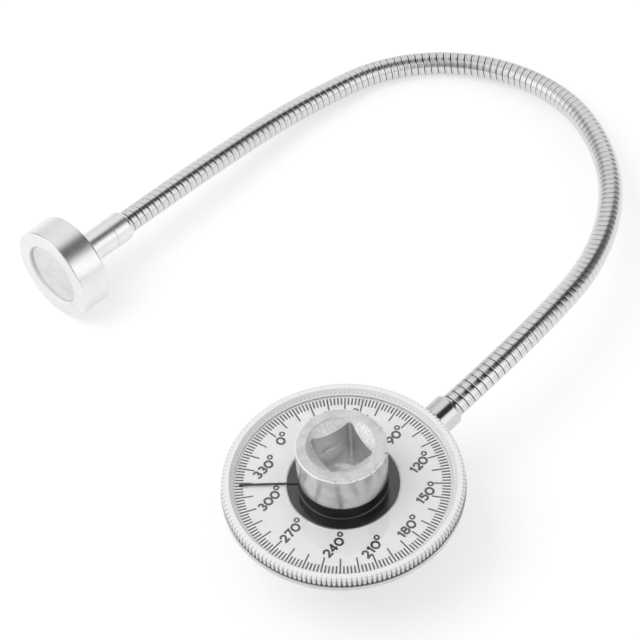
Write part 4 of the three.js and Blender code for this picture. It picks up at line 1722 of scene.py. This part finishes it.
@dataclass
class Ferrule:
    """A plated sleeve between the hose and what carries it, with its mouth at height zero."""

    sides: int = 96
    radius: float = 4.9
    length: float = 6.6
    chamfer: float = 0.9
    mouth: float = 4.1
    mouth_depth: float = 2.7
    lip: float = 0.1
    web_low: float = -3.5
    bore: float = 2.3
    edges: tuple[float, ...] = (0.0, 0.0, 0.1, 0.1, 0.35, 0.05, 0.0, 0.0, 0.0)

    def surface(self) -> Surface:
        """Work out the sleeve, turned about Z.

        Returns:
            The closed surface.
        """
        corners = [
            *stairs([(0.0, self.web_low), (self.bore, -self.length)], self.radius),
            (self.radius, -self.chamfer),
            *stairs([(self.mouth + self.lip, 0.0), (self.mouth, -self.mouth_depth)], 0.0),
        ]
        return turned(rounded(corners, self.edges), self.sides)

    def build(self, name: str, seat: Matrix, finish: Finish, body: str, node: str) -> Object:
        """Make a ferrule in a frame, on a body, in place of a node."""
        ferrule = make_piece(name, [self.surface().placed(seat)], [finish.material()])
        return settle(ferrule, body, "ferrule_chrome", node)


@dataclass
class HoseRoute:
    """The middle line of the gooseneck: straight, seven even bends, straight."""

    mount: ArmMount
    straight: float = 7.6
    stretch: float = 46.8
    seat: float = 2.4
    turns: tuple[float, ...] = (14.4, 24.2, 29.2, 49.0, 57.7, 11.4, -2.3)
    climbs: tuple[float, ...] = (-9.8, -9.9, -8.7, -3.6, 4.9, 7.9, 2.1)
    step: float = 0.05

    def __post_init__(self) -> None:
        """Add up the line from small steps, each along the heading and climb at its middle."""
        self.knots = self.straight + self.stretch * np.arange(len(self.turns) + 1)
        self.headings = np.radians(self.mount.heading + np.r_[0, np.cumsum(self.turns)])
        self.rises = np.radians(np.r_[self.mount.climb, self.climbs])
        self.start = -self.seat
        self.end = self.knots[-1] + self.straight + self.seat
        self.table = np.arange(self.start, self.end + self.step, self.step)
        middles = between(self.table)[:-1]
        steps = direction(*self.angles(middles)) * self.step
        line = np.concatenate([np.zeros((1, 3)), np.cumsum(steps, axis=0)])
        origin = np.array([np.interp(0.0, self.table, axis) for axis in line.T])
        self.line = line - origin + self.mount.place

    def angles(self, distance: np.ndarray | float) -> list[np.ndarray]:
        """Give the line's heading and climb at some distances from the ferrule's mouth."""
        return [np.interp(distance, self.knots, table) for table in (self.headings, self.rises)]

    def point(self, distance: np.ndarray | float) -> np.ndarray:
        """Give the place on the line at some distances from the ferrule's mouth."""
        return np.stack([np.interp(distance, self.table, axis) for axis in self.line.T], axis=-1)

    def tube(self, distance: np.ndarray, radius: np.ndarray, turn: np.ndarray) -> np.ndarray:
        """Give points round the line: p + r (left cos a + up sin a).

        Args:
            distance: the distances along the line.
            radius: the radius at each.
            turn: the angle round the line at each.

        Returns:
            The points, in the last axis.
        """
        heading, climb = self.angles(distance)
        along = direction(heading, climb)
        left = np.stack([-np.sin(heading), np.cos(heading), np.zeros_like(heading)], axis=-1)
        up = np.cross(along, left)
        ring = left * np.cos(turn)[..., None] + up * np.sin(turn)[..., None]
        return self.point(distance) + ring * radius[..., None]

    def seat_at(self, distance: float) -> Matrix:
        """Give the frame on the line at one distance from the ferrule's mouth."""
        return seat_at(Vector(self.point(distance)), *self.angles(distance))


@dataclass
class Gooseneck:
    """The wound hose's skins: one between the middles of each two stretches, one at each end."""

    route: HoseRoute
    pitch: float = 2.44
    columns: int = 40
    bore: float = 2.3
    bore_rows: int = 12
    blend_half: float = 14.0
    profile: tuple[tuple[float, float], ...] = (
        (0.0, 3.36),
        (0.035, 3.62),
        (0.07, 3.74),
        (0.14, 3.785),
        (0.22, 3.8),
        (0.27, 3.8),
        (0.3, 3.775),
        (0.33, 3.8),
        (0.4, 3.8),
        (0.47, 3.8),
        (0.5, 3.775),
        (0.53, 3.8),
        (0.62, 3.79),
        (0.67, 3.77),
        (0.7, 3.67),
        (0.73, 3.775),
        (0.8, 3.79),
        (0.9, 3.78),
        (0.965, 3.63),
    )
    groove_top: float = 3.72
    groove_low: float = 3.45

    def skin(self, name: str, start: float, end: float, material: Material) -> Object:
        """Make the hose between two distances, as a closed tube.

        A grid line follows the winding: column j of row (m, k) lies at pitch (m + share_k + j/n),
        held between the two ends, and the radius is the profile at distance / pitch - j/n. The last
        column falls on the first one a turn further on. Inside, a plain bore leads back to the
        start.

        Args:
            name: the piece's name.
            start: the distance where it starts.
            end: the distance where it ends.
            material: its material.

        Returns:
            The piece.
        """
        shares, radii = np.array(self.profile).T
        share = np.arange(self.columns + 1) / self.columns
        windings = np.arange(math.floor(start / self.pitch) - 1, math.ceil(end / self.pitch) + 1)
        rows = np.add.outer(windings, shares).reshape(-1, 1)
        outer = np.clip(self.pitch * (rows + share), start, end)
        phase = (outer / self.pitch - share) % 1.0
        outer_radius = np.interp(phase, shares, radii, period=1.0)
        back = np.linspace(end, start, self.bore_rows)[:, None]
        inner = np.broadcast_to(back, (self.bore_rows, len(share)))
        distance = np.concatenate([outer, inner])
        radius = np.concatenate([outer_radius, np.full(inner.shape, self.bore)])
        turn = np.broadcast_to(2 * np.pi * share, distance.shape)
        # Painted shade: the share that the chrome darkens by, from how deep a point lies between
        # the windings.
        depth = np.clip((self.groove_top - radius) / (self.groove_top - self.groove_low), 0, 1)
        points = self.route.tube(distance, radius, turn)
        surface = lattice(points, loop_rows=True, loop_columns=False)
        return make_piece(name, [surface], [material], depth.reshape(-1))

    def build(self) -> list[Object]:
        """Make all the skins: the end ones ride on their bodies, and the middle ones stay fixed
        where they are made.

        Returns:
            The pieces.
        """
        # Chromium plate on wound steel wire: near mirror crests, thin grooves with painted shade.
        chrome = ChromedWire("chrome_plated_wire", "#dadada", 0.06).material()
        route = self.route
        middles = route.straight + route.stretch * (np.arange(len(route.turns)) + 0.5)
        first = self.skin("hose_winding_1", route.start, middles[0], chrome)
        last = self.skin("hose_winding_8", middles[-1], route.end, chrome)
        settle(first, "housing", "hose_chrome", "gooseneck_1")
        settle(last, "magnet_end", "hose_chrome", "gooseneck_7")
        bodies = ["housing", "arm_2", "arm_3", "arm_4", "arm_5", "arm_6", "magnet_end"]
        pieces = [first, last]
        for i in range(len(bodies) - 1):
            skin = self.skin(f"hose_winding_{i + 2}", middles[i], middles[i + 1], chrome)
            joint = route.knots[i + 1]
            reach = (-self.blend_half, self.blend_half)
            ends = [Vector(route.point(joint + side)) * MM for side in reach]
            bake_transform(skin)
            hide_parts(f"gooseneck_{i + 1}", f"gooseneck_{i + 2}")
            faces = len(skin.data.polygons)
            log.info("%s: %d faces between %s and %s", skin.name, faces, *bodies[i : i + 2])
            pieces.append(skin)
        return pieces


@dataclass
class MagnetEnd:
    """The far end: ferrule, turned stem, cup and magnet disc."""

    route: HoseRoute
    sides: int = 192
    spigot: float = 2.0
    spigot_start: float = 3.8
    stem_radius: float = 4.8
    stem_start: float = 6.62
    stem_end: float = 20.03
    screw_bore: float = 1.8
    screw_bore_end: float = 15.35
    cup_start: float = 20.05
    cup_radius: float = 15.2
    cup_face: float = 30.35
    recess_radius: float = 10.15
    recess_floor: float = 23.35
    disc_radius: float = 9.85
    potting_radius: float = 10.13
    potting_drop: float = 0.12
    disc_back: float = 26.05
    disc_face: float = 29.55
    seal_reach: float = 0.4
    stem_edges: tuple[float, ...] = (0.0, 0.1, 0.0, 0.08, 0.1, 0.1, 0.0, 0.0)
    cup_edges: tuple[float, ...] = (0.0, 0.7, 0.6, 0.35, 0.0, 0.0)
    disc_edges: tuple[float, ...] = (0.0, 0.0, 0.0, 0.0, 0.12, 0.0)

    def build(self) -> list[Object]:
        """Make the pieces of the magnet end.

        Returns:
            The pieces.
        """
        seat = self.route.seat_at(self.route.knots[-1] + self.route.straight)
        back = seat @ Matrix.Rotation(math.pi, 4, "X")
        steps = [
            (0.0, self.spigot_start),
            (self.spigot, self.stem_start),
            (self.stem_radius, self.stem_end),
            (self.screw_bore, self.screw_bore_end),
        ]
        stem = rounded(stairs(steps, 0.0), self.stem_edges)
        steps = [
            (self.screw_bore, self.cup_start),
            (self.cup_radius, self.cup_face),
            (self.recess_radius, self.recess_floor),
        ]
        cup = rounded(stairs(steps, self.screw_bore), self.cup_edges, closed=True)
        steps = [
            (0.0, self.disc_back),
            (self.potting_radius, self.disc_face - self.potting_drop),
            (self.disc_radius, self.disc_face),
        ]
        disc = rounded(stairs(steps, 0.0), self.disc_edges)
        # Nickel on turned steel, satin: nearly white, with soft broad highlights.
        satin = TurnedMetal(
            "satin_nickel_plate",
            "#ececec",
            0.28,
            seat,
            ring_pitch=0.35,
            cloud_colour="#d2d2d2",
            rough_swing=0.06,
        )
        # Sealing lacquer round the magnet in the cup's recess: an even, hardly glossy white.
        lacquer = GrainedSurface("white_sealing_lacquer", "#ffffff", 0.5, blotch_colour="#f0f0f0")
        # Nickel on a pressed magnet: flat and bright, with a faint cloudiness.
        plating = TurnedMetal(
            "magnet_nickel_plate",
            "#dedede",
            0.22,
            seat,
            ring_pitch=0.6,
            ring_depth=0.001,
            cloud_colour="#c2c2c2",
            cloud_share=0.5,
        ).material()
        beyond = between(cup)[:, 0] - self.recess_radius
        recess = (beyond > -SUPPORT) & (beyond < self.seal_reach)
        skin, seal = satin.material(), lacquer.material()
        bowl = turned(cup, self.sides, closed=True, finish=recess.astype(int))
        sleeve = Ferrule().build(
            "magnet_plated_ferrule", back, satin, "magnet_end", "magnet_ferrule"
        )
        pieces = [sleeve]
        neck, face = turned(stem, self.sides), turned(disc, self.sides)
        for name, surface, finishes, slot, node in (
            ("magnet_turned_stem", neck, [skin], "magnet_nickel", "magnet_stem"),
            ("magnet_turned_cup", bowl, [skin, seal], "magnet_nickel", "magnet_cup"),
            ("magnet_face_disc", face, [plating], "magnet_face", "magnet_disc"),
        ):
            piece = make_piece(name, [surface.placed(seat)], finishes)
            pieces.append(settle(piece, "magnet_end", slot, node))
        return pieces


def main() -> None:
    """Build the camera, the studio and every sub-assembly in order."""
    logging.basicConfig(level=logging.INFO, format="%(name)s: %(message)s")
    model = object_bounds()
    PhotoCamera().build()
    studio = Studio()
    studio.build_world()
    studio.build_floor(model[0].z / MM)
    studio.build_lamp()
    mount = ArmMount()
    route = HoseRoute(mount)
    # Nickel plate on turned brass, polished: a soft-edged mirror with the turning just showing.
    nickel = TurnedMetal(
        "polished_nickel_plate",
        "#d4d4d4",
        0.12,
        mount.seat(),
        ring_depth=0.001,
        cloud_colour="#bcbcbc",
        rough_swing=0.03,
    )
    # Hardened spring steel, tumbled and oiled: dark grey with a dull shine.
    metal = TurnedMetal(
        "tempered_spring_steel", "#7a7a7a", 0.3, ring_pitch=0.2, cloud_colour="#4c4c4c"
    ).material()
    pieces = [
        *DriveBody().build(),
        DetentSpring().build(metal),
        *PointerHub().build(),
        *Scale().build(),
        ClearCover().build(),
        *BaseHousing().build(mount, metal),
        Ferrule().build("dial_plated_ferrule", mount.seat(), nickel, "housing", "dial_ferrule"),
        *Gooseneck(route).build(),
        *MagnetEnd(route).build(),
    ]
    bpy.context.scene.view_settings.view_transform = "Standard"
    log.info("%d pieces", len(pieces))


if __name__ == "__main__":
    main()
